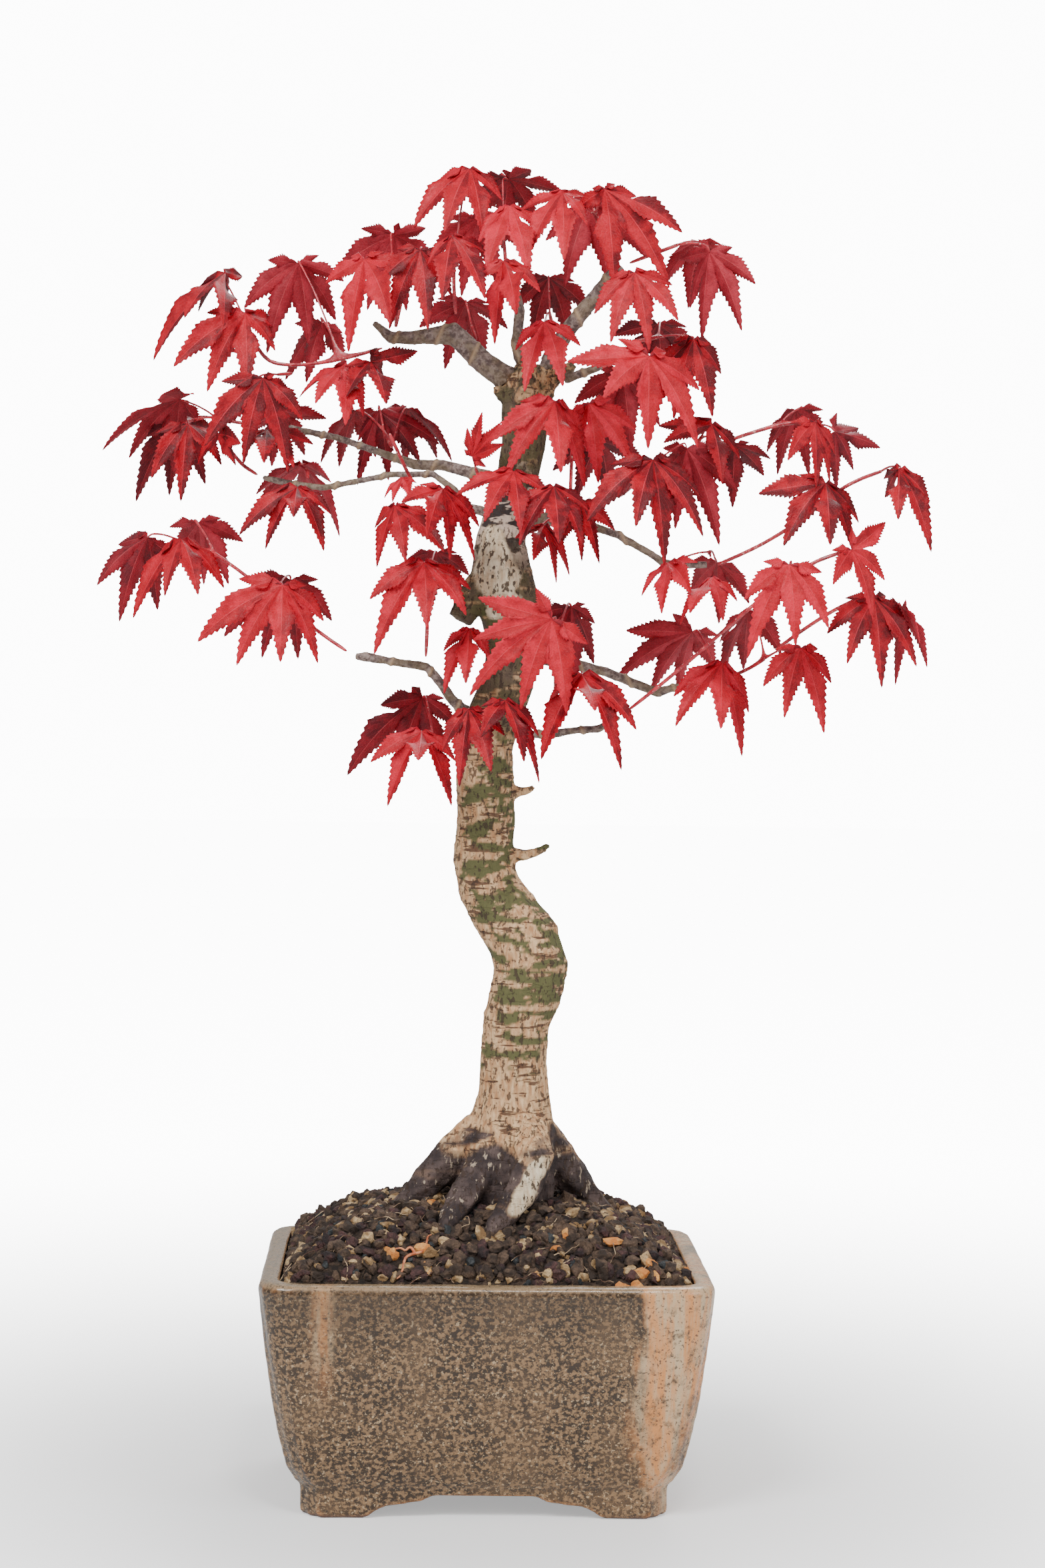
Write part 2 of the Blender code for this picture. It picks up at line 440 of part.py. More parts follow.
# Red shoots with their leaves. A stem is drawn from its wood outwards: x, z, depth y. A leaf is its
# hub (x, z, y), the stem point its stalk leaves from, and the tips of its lobes (x, z, side): side 1
# puts a lobe's hidden length behind the hub, -1 in front of it. All in mm, in the front elevation.
SHOOTS = {
    "shoot_crown_left": ([(-43.5, 438, 14), (-60, 433, 20), (-75, 430.5, 26), (-88, 431, 31), (-94, 441, 33)], [
        ((-104.5, 465.5, 40), 4, [(-128.5, 429.5, 1), (-120, 448, -1), (-110, 446, -1), (-102, 447, 0.6),
                                  (-97.5, 464, 0.4)]),
        ((-96.5, 450, 26), 4, [(-123.5, 429, 0), (-111, 420, -1), (-95.5, 420, -1), (-85, 436, 0),
                               (-84, 446, 0.6)]),
        ((-76.5, 469.5, 38), 1, [(-97, 452, 0), (-86, 434, 1), (-74, 438, 1), (-62, 448, 1), (-59, 463, 0)]),
        ((-67, 447, 50), 1, [(-81, 425, 1), (-73, 424, 0), (-58, 430, 0.4)])]),
    "shoot_crown_left_hanging": ([(-78, 427.5, 22), (-84, 427, 16)], [
        ((-89.5, 425.5, 8), 1, [(-101, 393, 0), (-95, 392, -1), (-87, 388, -0.6), (-76, 408, 0),
                                (-79, 419, 0.3)])]),
    "shoot_crown_left_fringe": ([(-55, 431.5, 16), (-54, 430, 10)], [
        ((-57.5, 431.5, 4), 1, [(-75.5, 418.5, 0.6), (-65, 415, -0.6), (-59, 408, -1), (-53, 411, 0)]),
        ((-48.5, 432.5, 8), 1, [(-54, 417, -0.5), (-47.5, 418, -1), (-43, 426, 0.3), (-30, 436, 0.3)])]),
    "shoot_top_a": ([(-39, 446, 6), (-37, 456, 2), (-35, 466, -2)], [
        ((-51.3, 471.5, -8), 2, [(-66, 462, 0.3), (-57, 436, -0.6), (-41, 447, -1), (-33, 470, 0)]),
        ((-30, 475.7, -16), 2, [(-45, 462, 0), (-38.3, 444, -0.7), (-27, 445, -1), (-20, 457, 0)]),
        ((-40, 481, 34), 0, [(-62, 466, 0.6), (-50, 452, 1), (-35, 452, 0.6), (-24, 470, 0.2),
                             (-28, 484, -0.3)])]),
    "shoot_top_c": ([(-16, 451, 6), (-17, 462, 0), (-17, 471, -6)], [
        ((-17.7, 481, -22), 2, [(-27, 470, 0), (-19, 456, -1), (-7, 457, -1), (-3, 474, 0.3)]),
        ((-11.5, 507, 0), 2, [(-31.5, 483, -0.2), (-20, 482, -0.9), (-8, 480, -0.6), (1, 495, 0.2)])]),
    "shoot_top_d": ([(3, 469, 14), (2, 480, 16)], [
        ((3.5, 503.5, 20), 1, [(-10, 488, 1), (3, 476, 1), (13, 485, 0.6), (25, 498, 0), (12, 507, -0.5)]),
        ((-8, 488, 44), 1, [(-26, 472, 0.4), (-14, 458, 1), (0, 462, 1), (8, 478, 0.3)]),
        ((4, 493, -12), 1, [(-8, 478, 0), (-2, 466, -1), (9, 466, -1), (17, 482, 0)]),
        ((2, 472, -34), 0, [(-9, 463, 0), (-1, 440, -0.6), (8, 452, -1), (16, 460, 0)])]),
    "shoot_top_left_inner": ([(-8, 441.5, 12), (-10, 447, 12)], [
        ((-12, 456, 24), 1, [(-30, 446, 0.6), (-20, 430, 1), (-5, 434, 1), (4, 446, 0.2)])]),
    "shoot_top_right_a": ([(43, 473, -8), (40, 483, -8), (37, 490, -8)], [
        ((24.2, 498.5, -12), 2, [(8, 491, 0.3), (14, 474, -0.6), (22, 472, -1), (34, 486, -0.2),
                                 (35, 497, 0.3)]),
        ((40.5, 500, -20), 2, [(52, 494, 0.3), (71, 485, 0), (66, 463, -0.6), (55, 466, -1), (30, 492, 0.3)]),
        ((35, 494, 18), 1, [(18, 480, 0.6), (28, 462, 1), (40, 463, 1), (57, 474, 0.2), (50, 490, -0.3)])]),
    "shoot_top_right_c": ([(50, 472, -8), (60, 476, -12), (69, 479.5, -14)], [
        ((81, 477, -20), 2, [(70, 474, 0.5), (78, 453, 0.6), (84, 443, -0.6), (90, 445, -1), (96, 461, 0)]),
        ((77, 481, -2), 2, [(66, 462, 0.6), (72.5, 455, 1), (83, 462, 1), (90, 470, 0.3)])]),
    "shoot_top_right_front": ([(45, 463, -12), (48, 465, -22)], [
        ((52.5, 468.5, -34), 1, [(37.5, 452, 0), (45, 441, -0.6), (57, 438, -0.8), (69, 450, -0.4),
                                 (67, 464, 0.3)])]),
    "shoot_top_right_inner": ([(22, 444, 8), (20, 452, 14)], [
        ((19.5, 466, 22), 1, [(7, 452, 0.5), (13, 440, 1), (26, 441, 1), (36, 452, 0.3)]),
        ((18, 449, -22), 1, [(7, 438, 0), (12, 422, -0.7), (24, 424, -1), (32, 440, 0)])]),
    "shoot_right_upper_front": ([(48.5, 436, -24), (53, 438, -32)], [
        ((58.5, 436.5, -48), 1, [(27, 434, 0), (41, 420, -0.5), (60, 401, 0), (76.5, 401, 0.2),
                                 (78, 424, 0.6)])]),
    "shoot_right_upper_side": ([(50, 441.5, -14), (62, 444, -18)], [
        ((75.5, 443.5, -24), 1, [(62, 428, 0.6), (72, 412, 0.4), (80.5, 413, 0), (86, 430, 0.4)]),
        ((61.5, 449, 2), 1, [(44, 444, 0.3), (50, 426, 1), (64, 424, 1), (76, 436, 0.6)])]),
    "shoot_right_behind": ([(38, 437, -4), (42, 434, 10)], [
        ((48, 430, 26), 1, [(30, 418, 0.5), (36, 402, 0.7), (52, 398, 0.8), (63, 410, 0.6),
                            (66, 424, 0.2)])]),
    "shoot_left_far": ([(-90, 407.5, 40), (-100, 408.5, 42), (-107, 410, 42)], [
        ((-121, 417, 42), 2, [(-128, 418.5, -0.8), (-149, 395, 0), (-140, 394, 1), (-126, 388, 1)]),
        ((-118, 407.5, 30), 2, [(-131, 386, -0.3), (-121.3, 378, -0.5), (-105, 392, 0), (-106, 404, 0.6)]),
        ((-122, 408.5, 56), 2, [(-134, 376, 0.3), (-127, 380, 0.6), (-112, 384, 0.6)])]),
    "shoot_left_far_wood": ([(-85, 403.5, 34), (-86, 404, 28)], [
        ((-88, 406, 20), 1, [(-96, 397, -0.3), (-86, 393, -0.8), (-79.5, 391, -0.6), (-70, 400.5, -0.2)]),
        ((-84, 413, 54), 0, [(-92, 404, 0.6), (-88, 392, 1), (-74, 396, 0.8), (-65, 410.5, 0.4)])]),
    "shoot_left_middle_top": ([(-72, 387.5, 17), (-72, 390, 22)], [
        ((-74, 393, 30), 1, [(-91.5, 381, 0), (-90, 377, 0.7), (-70, 372, 1), (-59.5, 365.5, 0.2),
                             (-63, 386, -0.5)])]),
    "shoot_left_middle_front": ([(-74, 382.5, 10), (-75, 382, 6)], [
        ((-76, 384, -4), 1, [(-93, 361, -0.2), (-88.5, 360.5, 0), (-80, 373, -0.8), (-70, 359, -0.6),
                             (-63, 374, 0)])]),
    "shoot_left_middle_end": ([(-91, 388.5, 21), (-97, 392, 26), (-101, 397, 30)], [
        ((-106, 404, 14), 2, [(-114, 392, 0.3), (-99, 393.5, -0.5), (-98, 398, -0.8)])]),
    "shoot_left_inner_top": ([(-40, 400, 28), (-43, 406, 34)], [
        ((-45, 413.5, 38), 1, [(-53, 402, 0.2), (-51.8, 385, -0.2), (-41.5, 387, -0.6), (-29, 394, -0.6),
                               (-22, 401, 0)]),
        ((-54, 414, 54), 1, [(-67, 393.5, 0), (-60, 392, 0.7), (-46, 396, 0.7)]),
        ((-34, 415, 54), 0, [(-42, 404, 0.6), (-34, 391, 1), (-22, 396, 0.6), (-18, 394, 0.2)])]),
    "shoot_left_red_spur": ([(-32, 387, 2), (-36, 395, -6), (-41, 405.5, -12)], [
        ((-35.5, 388.5, -10), 0, [(-42.5, 380.5, 0), (-39, 379, -0.3), (-33, 380, -0.3)])]),
    "shoot_left_inner_front": ([(-17, 380, -6), (-22, 382, -12), (-29, 381, -18)], [
        ((-38.5, 377.5, -24), 2, [(-46, 369, 0.5), (-45, 354, 0), (-34, 356, -0.6), (-19, 360, -0.8),
                                  (-22, 371, 0)]),
        ((-20, 384.5, -30), 0, [(-36, 379, -0.3), (-26, 366, -1), (-16.5, 357, -0.6), (-8, 357, 0),
                                (-6, 370, 0.3)])]),
    "shoot_trunk_left_up": ([(-5.5, 387, 2), (-7.5, 392, -4)], [
        ((-9, 397, -8), 1, [(-11, 408, 0), (-5, 414, -0.2), (1.5, 411, -0.3), (3, 402, -0.4)])]),
    "shoot_trunk_front_high": ([(4, 384, -10), (5, 388, -26)], [
        ((7, 391.5, -42), 1, [(-15, 382, 0), (-4, 372, -0.7), (10, 368, -0.8), (21, 382, 0)])]),
    "shoot_left_low_end": ([(-56, 321.5, -10), (-63, 326, -6), (-70, 331, -2), (-86, 343, 8), (-100, 353.5, 18),
                            (-107, 358, 23), (-118, 361.5, 29)], [
        ((-113.5, 370, 36), 5, [(-122, 352, 0.8), (-110, 346, 0.8), (-101.5, 346.5, 0.3), (-97, 362, 0.4)]),
        ((-120, 363.5, 20), 6, [(-138, 333, 0), (-125.5, 341.5, -0.6), (-114, 342, -0.7), (-103.5, 345, 0)]),
        ((-133, 364, 40), 6, [(-144, 361, 0.5), (-150, 343.5, 0), (-145, 332, 0.6), (-130, 336, 0.9)])]),
    "shoot_left_low_middle": ([(-83, 344, 2), (-82, 347, -2)], [
        ((-81, 346.5, -10), 1, [(-104, 314.5, 0.3), (-98.5, 315.5, -0.6), (-89, 318, -1), (-70, 315.5, -0.6),
                                    (-65.5, 332.5, 0.2)]),
        ((-78, 348.5, 18), 1, [(-103, 326, 0.3), (-88, 318, 1), (-76, 318, 1), (-62, 333, 0.3)])]),
    "shoot_left_low_upright": ([(-25.8, 319.5, -14), (-25.3, 331, -18), (-26, 344, -22)], [
        ((-26.8, 356, -28), 2, [(-46.5, 340, 0), (-48.5, 322, -0.2), (-25.5, 330.5, -0.9), (-10.5, 336, -0.4),
                                (-9, 346, 0.3)]),
        ((-22, 360, 8), 2, [(-36, 342, 0.6), (-24, 332, 1), (-12, 338, 1), (-11, 350, 0.3)])]),
    "shoot_trunk_left_low": ([(-16, 283, 2), (-22, 285, -4)], [
        ((-27, 291, -14), 1, [(-46.5, 279, 0), (-39.5, 262, -0.5), (-28, 280, -1), (-15.5, 262.5, -0.5),
                              (-14, 280, 0)]),
        ((-27, 304, 16), 1, [(-43, 301, -0.5), (-52, 271, 0.3), (-40, 268, 1), (-20, 272, 0.8),
                             (-13, 292, 0)])]),
    "shoot_trunk_front_low": ([(-4, 288, -13), (-4, 293, -26)], [
        ((-9, 300, -34), 1, [(-19, 283, 0), (-12.5, 270, -0.6), (0, 276, -0.9), (5, 290, 0)]),
        ((5, 303.5, -40), 1, [(-3, 288, -0.4), (10.5, 281, -1), (18.5, 272, -0.2), (18, 290, 0.3)])]),
    "shoot_trunk_middle_left": ([(-3, 322, -7), (-7, 327, -12)], [
        ((-9, 331, -18), 1, [(-19, 322, 0), (-15.5, 305, -0.3), (-9, 310, -0.8), (-3, 317.5, 0)])]),
    "shoot_right_dark_upright": ([(24, 294.5, -13), (24.5, 308, -20), (24, 324, -28)], [
        ((22.5, 335, -40), 2, [(-6, 343, 0), (-6.5, 322.5, -0.3), (-8, 304, 0), (10, 300, -0.5),
                               (24, 298, -0.7)]),
        ((30, 340, -6), 2, [(20, 318, 0.6), (30, 306, 1), (39, 318, 0.8), (38, 332, 0.2)])]),
    "shoot_right_low_front": ([(35, 314, 4), (34, 313, -8)], [
        ((34.5, 314, -34), 1, [(22, 304, 0), (29, 278, -0.4), (40, 300, -1), (48.5, 276.5, -0.4),
                               (51, 288, 0.3)])]),
    "shoot_right_low_end": ([(83.5, 312, 6), (87, 313, 2)], [
        ((88.5, 319, -20), 1, [(70, 306, 0.3), (73, 293, -0.5), (87, 294, -1), (96, 283, -0.3),
                               (99, 300, 0.3)]),
        ((77, 331, 22), 1, [(52, 325.5, 0.3), (46.5, 313, 0), (58.5, 308.5, 0.5), (69, 308, 0.9),
                            (86, 316, 0.6)])]),
    "shoot_right_low_outer": ([(90, 313, -4), (99, 317, -14), (105, 321, -20)], [
        ((98.5, 339.5, -4), 2, [(87.5, 327, -0.3), (90, 312, 0.8), (100, 318, 0.9), (108, 320, 0.3)]),
        ((119, 325.5, -36), 2, [(106, 309, 0), (110.5, 299, -0.4), (128.5, 292.5, -0.3), (131, 312, 0.2)])]),
    "shoot_right_long": ([(52, 300, -22), (62, 308, -26), (78, 321.5, -32), (92, 334.5, -38), (104, 345, -42),
                          (114.5, 353, -45), (125, 359.5, -48), (134, 362.5, -50)], [
        ((114, 357.5, -60), 5, [(100, 340.5, 0), (107.5, 318.5, -0.3), (113, 326, -0.8), (121, 329.5, 0)]),
        ((138, 363.5, -54), 7, [(131, 350, -0.4), (147, 336, -0.3), (151, 352, 0.2), (151, 374.5, 0.3)])]),
    "shoot_right_outer": ([(109, 324.5, -22), (119, 332, -28), (130, 339.5, -34), (141, 345, -40)], [
        ((147, 345, -46), 3, [(129, 331, 0), (137, 319.5, -0.4), (154.5, 311, -0.5), (161, 317, 0),
                              (160, 334, 0.4)]),
        ((158, 342, -62), 3, [(150, 324, 0.8), (158, 311, 0.5), (166.5, 318, 0), (165, 328, -0.5)])]),
    "shoot_right_middle_cluster": ([(83, 360, -14), (83, 362, -18)], [
        ((67, 357.5, -28), 1, [(57, 344.5, 0), (67, 339, -0.8), (74, 344, -0.8)]),
        ((84, 352, -36), 1, [(72, 333.5, 0), (79, 338, -0.8), (86.5, 335, -0.4), (94, 343, 0)]),
        ((86, 358, 8), 1, [(76, 346, 0.8), (88, 334, 0.9), (98, 342, 0.5)])]),
    "shoot_right_middle": ([(86, 357, -14), (95, 361, -17), (104, 365.5, -20), (116, 373, -24),
                            (127, 382, -28), (135, 388, -31), (142, 391.5, -33), (149, 394, -36)], [
        ((127.5, 389, -38), 4, [(101.5, 384.5, 0), (116.5, 362, -0.4), (126, 366, -1), (136, 364, -0.3),
                                (140.5, 374, 0.4)]),
        ((156, 395, -58), 7, [(150.5, 384, 0.8), (160.5, 375.5, -0.5), (165.5, 362, 0), (167, 381, 0.2)])]),
    "shoot_right_upper": ([(36, 378.5, 3), (48, 386, 2), (62, 394, 0), (77, 399.5, -3), (91, 405.5, -6),
                           (109, 411.5, -12), (118, 412.5, -16), (124, 411.5, -19)], [
        ((115.5, 417, -8), 5, [(104.5, 400.5, 0), (111, 392, 0.6), (121, 391, 0.9), (127, 402, 0.5)]),
        ((123, 412.5, -28), 6, [(114, 396, -0.4), (122, 388, -0.7), (129, 389, 0), (131, 400, 0.3)]),
        ((130.5, 409, -12), 7, [(132, 386, 0.3), (138, 394, 0.3), (148.5, 403.5, 0.4), (140, 410, 0.6)])]),
    "shoot_right_upper_mid": ([(77, 402.5, -4), (79, 406, -8)], [
        ((83, 411, -16), 1, [(64.5, 403.5, 0), (62.5, 410, 0.5), (87.5, 388, -0.5), (94, 398, 0.3)]),
        ((92, 403, 16), 1, [(83, 388, 0.6), (90, 379, 0.5), (103.5, 391.5, 0.5), (106, 398, 0)])]),
    "shoot_right_centre_front": ([(48, 382.5, -4), (54, 388, -20)], [
        ((60.5, 397, -40), 1, [(44.5, 366, 0), (54.5, 371, -0.8), (66.5, 356.5, -0.2), (75, 364.5, 0),
                               (77, 380, 0.4)]),
        ((73.5, 401.5, -22), 1, [(62, 384, 0.8), (75, 370, 0.9), (88.5, 365, 0), (89, 382, 0.3)])]),
    "shoot_right_inner_front": ([(28, 376.5, -5), (24, 383, -24)], [
        ((22.5, 386, -44), 1, [(8, 376, 0), (10, 363, -0.5), (26, 364, -1), (33, 363, -0.4),
                               (37, 376, 0.3)]),
        ((19, 371, -24), 0, [(8, 366, 0), (15, 357.5, -0.7), (24, 349, 0), (29, 352, 0.4)]),
        ((33, 380, -14), 0, [(26, 362, 0.6), (36, 357, 0.4), (40, 356.5, 0), (45, 368, 0)])]),
    "shoot_right_inner_top": ([(29, 377, 6), (29, 392, 8), (30, 410, 6)], [
        ((22.5, 418.5, -28), 2, [(4, 396, 0), (10, 386.5, -0.5), (21, 392, -1), (28.5, 384, -0.4),
                                 (32, 398, 0.4)]),
        ((35.5, 418, -10), 2, [(29, 398, 0.4), (40.5, 387.5, -0.4), (52, 393.5, 0), (54, 408, 0.3)]),
        ((40, 404, 32), 2, [(22, 392, 0.5), (31, 380.5, 0.6), (44, 382, 0.9), (57, 396, 0.4)])]),
}


def lobe_route(hub, tip):
    """Midrib of a lobe: it leaves the hub outwards and bends down with its weight."""
    reach = tip - hub
    bend = hub + Vector((reach.x * 0.62, reach.y * 0.62, reach.z * (0.34 if reach.z < 0 else 0.55)))
    return lambda t: hub * (1 - t) ** 2 + bend * (2 * t * (1 - t)) + tip * t ** 2


def leaf_tips(hub_drawn, tips, shift):
    """Lobe tips in space, each at about a lobe's length from the hub."""
    x, z, y = hub_drawn
    places = []
    for tip_x, tip_z, side in tips:
        seen = math.hypot(tip_x - x, tip_z - z) * MM
        hidden = math.sqrt(max(0.0, (0.86 * LEAF_LENGTH) ** 2 - seen ** 2)) * side
        places.append(drawn(tip_x, tip_z, y + shift + hidden / MM))
    return places


def fan_lobes(hub, tips, start):
    """Order the lobes round the leaf and open any pair that stands too close; also give the leaf's axis,
    which points away from the start of its stalk."""
    reaches = [tip - hub for tip in tips]
    axis = sum((low.cross(high) for low, high in zip(reaches, reaches[1:])), Vector()).normalized()
    if axis.dot(start - hub) > 0:
        axis = -axis
    across = axis.orthogonal().normalized()
    upward = axis.cross(across)
    turn = {i: math.atan2(reach.dot(upward), reach.dot(across)) for i, reach in enumerate(reaches)}
    order = sorted(turn, key=turn.get)
    turns = [turn[i] for i in order]
    gaps = [(turns[(i + 1) % len(turns)] - turns[i]) % math.tau for i in range(len(turns))]
    first = (gaps.index(max(gaps)) + 1) % len(order)
    order = order[first:] + order[:first]
    for _ in range(12):
        for low, high in zip(order, order[1:]):
            lack = LOBE_SPREAD - (turn[high] - turn[low]) % math.tau
            if 0 < lack < LOBE_SPREAD:
                for i, share in ((low, -lack / 2), (high, lack / 2)):
                    turn[i] += share
                    reaches[i] = Matrix.Rotation(share, 3, axis) @ reaches[i]
    return [hub + reaches[i] for i in order], axis


def leaf_blade(hub, tips, start):
    """A palmate leaf as a thin lens: a hub, a rib point, two shoulders and a tip for each lobe."""
    tips, axis = fan_lobes(hub, tips, start)
    count = len(tips)
    routes = [lobe_route(hub, tip) for tip in tips]
    sideways = []
    for i, tip in enumerate(tips):
        ahead = (tip - hub).normalized()
        chord = (tips[min(i + 1, count - 1)] - tips[max(i - 1, 0)]).normalized()
        side = axis.cross(ahead).normalized() + chord
        sideways.append((side - ahead * side.dot(ahead)).normalized())
    bm = bmesh.new()
    half = LEAF_THICKNESS / 2
    hub_pair = [bm.verts.new(hub + axis * half), bm.verts.new(hub - axis * half)]
    sinus_places = []
    start_reach, end_reach = (tips[0] - hub), (tips[-1] - hub)
    sinus_places.append(hub - sideways[0] * (start_reach.length * 0.13) + start_reach * 0.04)
    for low, high in zip(routes, routes[1:]):
        sinus_places.append((low(0.30) + high(0.30)) / 2)
    sinus_places.append(hub + sideways[-1] * (end_reach.length * 0.13) + end_reach * 0.04)
    sinuses = [bm.verts.new(place) for place in sinus_places]
    middles = [route(0.5) for route in routes]
    rooms = [(high - low).length * 0.42 for low, high in zip(middles, middles[1:])]
    for i, tip in enumerate(tips):
        middle = middles[i]
        wide = (tip - hub).length * LOBE_WIDTH / 2
        low_side = bm.verts.new(middle - sideways[i] * min([wide] + rooms[max(i - 1, 0):i]))
        high_side = bm.verts.new(middle + sideways[i] * min([wide] + rooms[i:i + 1]))
        normal = (tip - hub).cross(sideways[i]).normalized()
        ribs = [bm.verts.new(middle + normal * half * 0.6), bm.verts.new(middle - normal * half * 0.6)]
        point = bm.verts.new(tip)
        before, after = sinuses[i], sinuses[i + 1]
        for rib, centre in zip(ribs, hub_pair):
            bm.faces.new((centre, before, rib))
            bm.faces.new((centre, rib, after))
            bm.faces.new((before, low_side, rib))
            bm.faces.new((rib, high_side, after))
            bm.faces.new((low_side, point, rib))
            bm.faces.new((rib, point, high_side))
    for centre in hub_pair:
        bm.faces.new((centre, sinuses[-1], sinuses[0]))
    bm.verts.index_update()
    heel = ((sinus_places[0] + sinus_places[-1]) / 2 - hub).normalized()
    return bm, axis, heel


def stalk(start, hub, axis, heel):
    """A leaf stalk: it rises from the stem in an arc and joins the hub from its heel and underneath."""
    foot = hub + (heel - axis).normalized() * 0.0030
    bend = (start + foot) / 2 + Vector((0, 0, 0.12 * (foot - start).length))
    arc = [start * (1 - t) ** 2 + bend * (2 * t * (1 - t)) + foot * t ** 2 for t in (0, 0.33, 0.67, 1)]
    return tube(arc + [hub - axis * (0.1 * LEAF_THICKNESS)], PETIOLE_RADIUS, 4)


def surface(bm):
    """Search tree of a bmesh, for clearance tests."""
    return BVHTree.FromBMesh(bm, epsilon=FIT_GAP)


def solid_surface(solid):
    mesh = solid.data
    corners = [vert.co for vert in mesh.vertices]
    faces = [tuple(face.vertices) for face in mesh.polygons]
    return BVHTree.FromPolygons(corners, faces, epsilon=FIT_GAP)


DEPTH_TRIES = [0] + [sign * step for step in range(3, 46, 3) for sign in (1, -1)]


def build_shoot(name, stem, leaves, placed):
    """A red shoot with its leaves in one piece; leaves slide in depth until they clear their neighbours."""
    points = [drawn(*point) for point in stem]
    while True:
        stem_bm = tube(smooth_route(points, 1), SHOOT_RADIUS, 5)
        tree = surface(stem_bm)
        blocked = [other for other in placed if tree.overlap(other)]
        step = (points[1] - points[0])
        if not blocked or step.length < 0.0012:
            break
        stem_bm.free()
        points[0] = points[0] + step.normalized() * 0.0006
    own_blades, own_stems = [], [tree]
    parts = [to_object(name, stem_bm, ("leaf red", LEAF_RED))]
    for hub_drawn, joint, tips in leaves:
        x, z, y = hub_drawn
        for shift in DEPTH_TRIES:
            hub = drawn(x, z, y + shift)
            blade, axis, heel = leaf_blade(hub, leaf_tips(hub_drawn, tips, shift), points[joint])
            petiole = stalk(points[joint], hub, axis, heel)
            blade_tree, petiole_tree = surface(blade), surface(petiole)
            clash = any(blade_tree.overlap(other) for other in own_blades + own_stems + placed)
            clash = clash or any(petiole_tree.overlap(other) for other in own_blades + placed)
            if not clash:
                break
            if shift != DEPTH_TRIES[-1]:
                blade.free()
                petiole.free()
        if clash:
            print("no clear place for a leaf of", name, hub_drawn)
        own_blades.append(blade_tree)
        own_stems.append(petiole_tree)
        parts += [to_object("blade", blade), to_object("stalk", petiole)]
    if len(parts) > 1:
        combine(parts[0], parts[1:], "UNION")
    return parts[0]


def main():
    for old in list(bpy.data.objects):
        bpy.data.objects.remove(old)
    solids = [build_pot()]
    for side, centre in zip(("left", "right"), drain_centres()):
        solids.append(build_drain_mesh(f"drain_mesh_{side}", centre))
        solids.append(build_mesh_wire(f"mesh_wire_{side}", centre))
    solids.append(build_soil())
    trunk = build_trunk()
    solids.append(trunk)
    placed = [solid_surface(solid) for solid in solids]
    trunk_tree = placed[-1]
    for name, line in BRANCHES.items():
        places = [drawn(x, z, y) for x, z, y, _ in line]
        radii = [radius * MM * BRANCH_SCALE for _, _, _, radius in line]
        ahead = (places[1] - places[0]).normalized()
        while True:
            bm = tube(places, radii, 7)
            if not surface(bm).overlap(trunk_tree) or (places[1] - places[0]).length < 0.0012:
                break
            bm.free()
            places[0] = places[0] + ahead * 0.0004
        placed.append(surface(bm))
        to_object(name, bm, ("twig", TWIG_GREY))
    for name, (stem, leaves) in SHOOTS.items():
        shoot = build_shoot(name, stem, leaves, placed)
        placed.append(solid_surface(shoot))


main()
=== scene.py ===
"""A red-leaved maple bonsai in a glazed rectangular pot, dressed over its measured frame.

Every length is in metres. The tree faces -Y, +X is to its right and its pot stands on z = 0.
"""
import math
import random
from itertools import accumulate

import bmesh
import bpy
from mathutils import Matrix, Vector, noise
from mathutils.bvhtree import BVHTree


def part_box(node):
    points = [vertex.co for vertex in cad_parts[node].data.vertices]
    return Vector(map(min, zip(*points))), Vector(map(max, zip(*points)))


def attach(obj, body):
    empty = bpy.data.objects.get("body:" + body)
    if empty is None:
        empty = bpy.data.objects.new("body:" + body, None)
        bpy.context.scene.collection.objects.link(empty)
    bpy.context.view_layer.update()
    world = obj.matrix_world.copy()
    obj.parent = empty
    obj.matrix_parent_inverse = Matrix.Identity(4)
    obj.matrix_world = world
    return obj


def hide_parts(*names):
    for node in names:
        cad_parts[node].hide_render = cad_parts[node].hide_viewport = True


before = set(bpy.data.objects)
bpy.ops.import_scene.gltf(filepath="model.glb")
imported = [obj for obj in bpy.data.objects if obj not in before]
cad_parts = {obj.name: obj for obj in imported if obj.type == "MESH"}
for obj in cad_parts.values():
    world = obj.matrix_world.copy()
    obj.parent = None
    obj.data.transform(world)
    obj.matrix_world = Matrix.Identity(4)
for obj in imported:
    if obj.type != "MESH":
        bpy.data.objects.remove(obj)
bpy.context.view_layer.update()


# ---- pot ----------------------------------------------------------------------------------------
# A press-moulded stoneware tub with set-back corner columns, a rolled lip and four scroll-cut feet.
# Its iron glaze broke into tan and dark flecks in the kiln, ran off the lip and the corners, and
# was wiped from the very bottom of the feet, where a thin edge of red-brown clay is left bare.
POT_VOXEL = 0.0011
GLAZE_DARK = (0.034, 0.019, 0.009, 1)
GLAZE_TAN = (0.285, 0.168, 0.082, 1)
GLAZE_RUN = (0.66, 0.27, 0.085, 1)
GLAZE_PALE = (0.58, 0.42, 0.25, 1)
BARE_CLAY = (0.115, 0.052, 0.036, 1)
RUN_MIDDLE = 0.0705          # how far right of the middle the wide pale run comes down
RUN_DRIFT = 0.022            # how far its edges wander
STREAK_MIDDLE = 0.0605       # how far left of the middle the narrow one comes down
LIP_HIGHLIGHT_START, LIP_HIGHLIGHT_FULL = 0.0024, 0.0008    # below the rim, where the painted highlight along the lip starts and is full
FOOT_START, FOOT_FULL = 0.0028, 0.0012  # above the ground, where the bare clay starts and is full


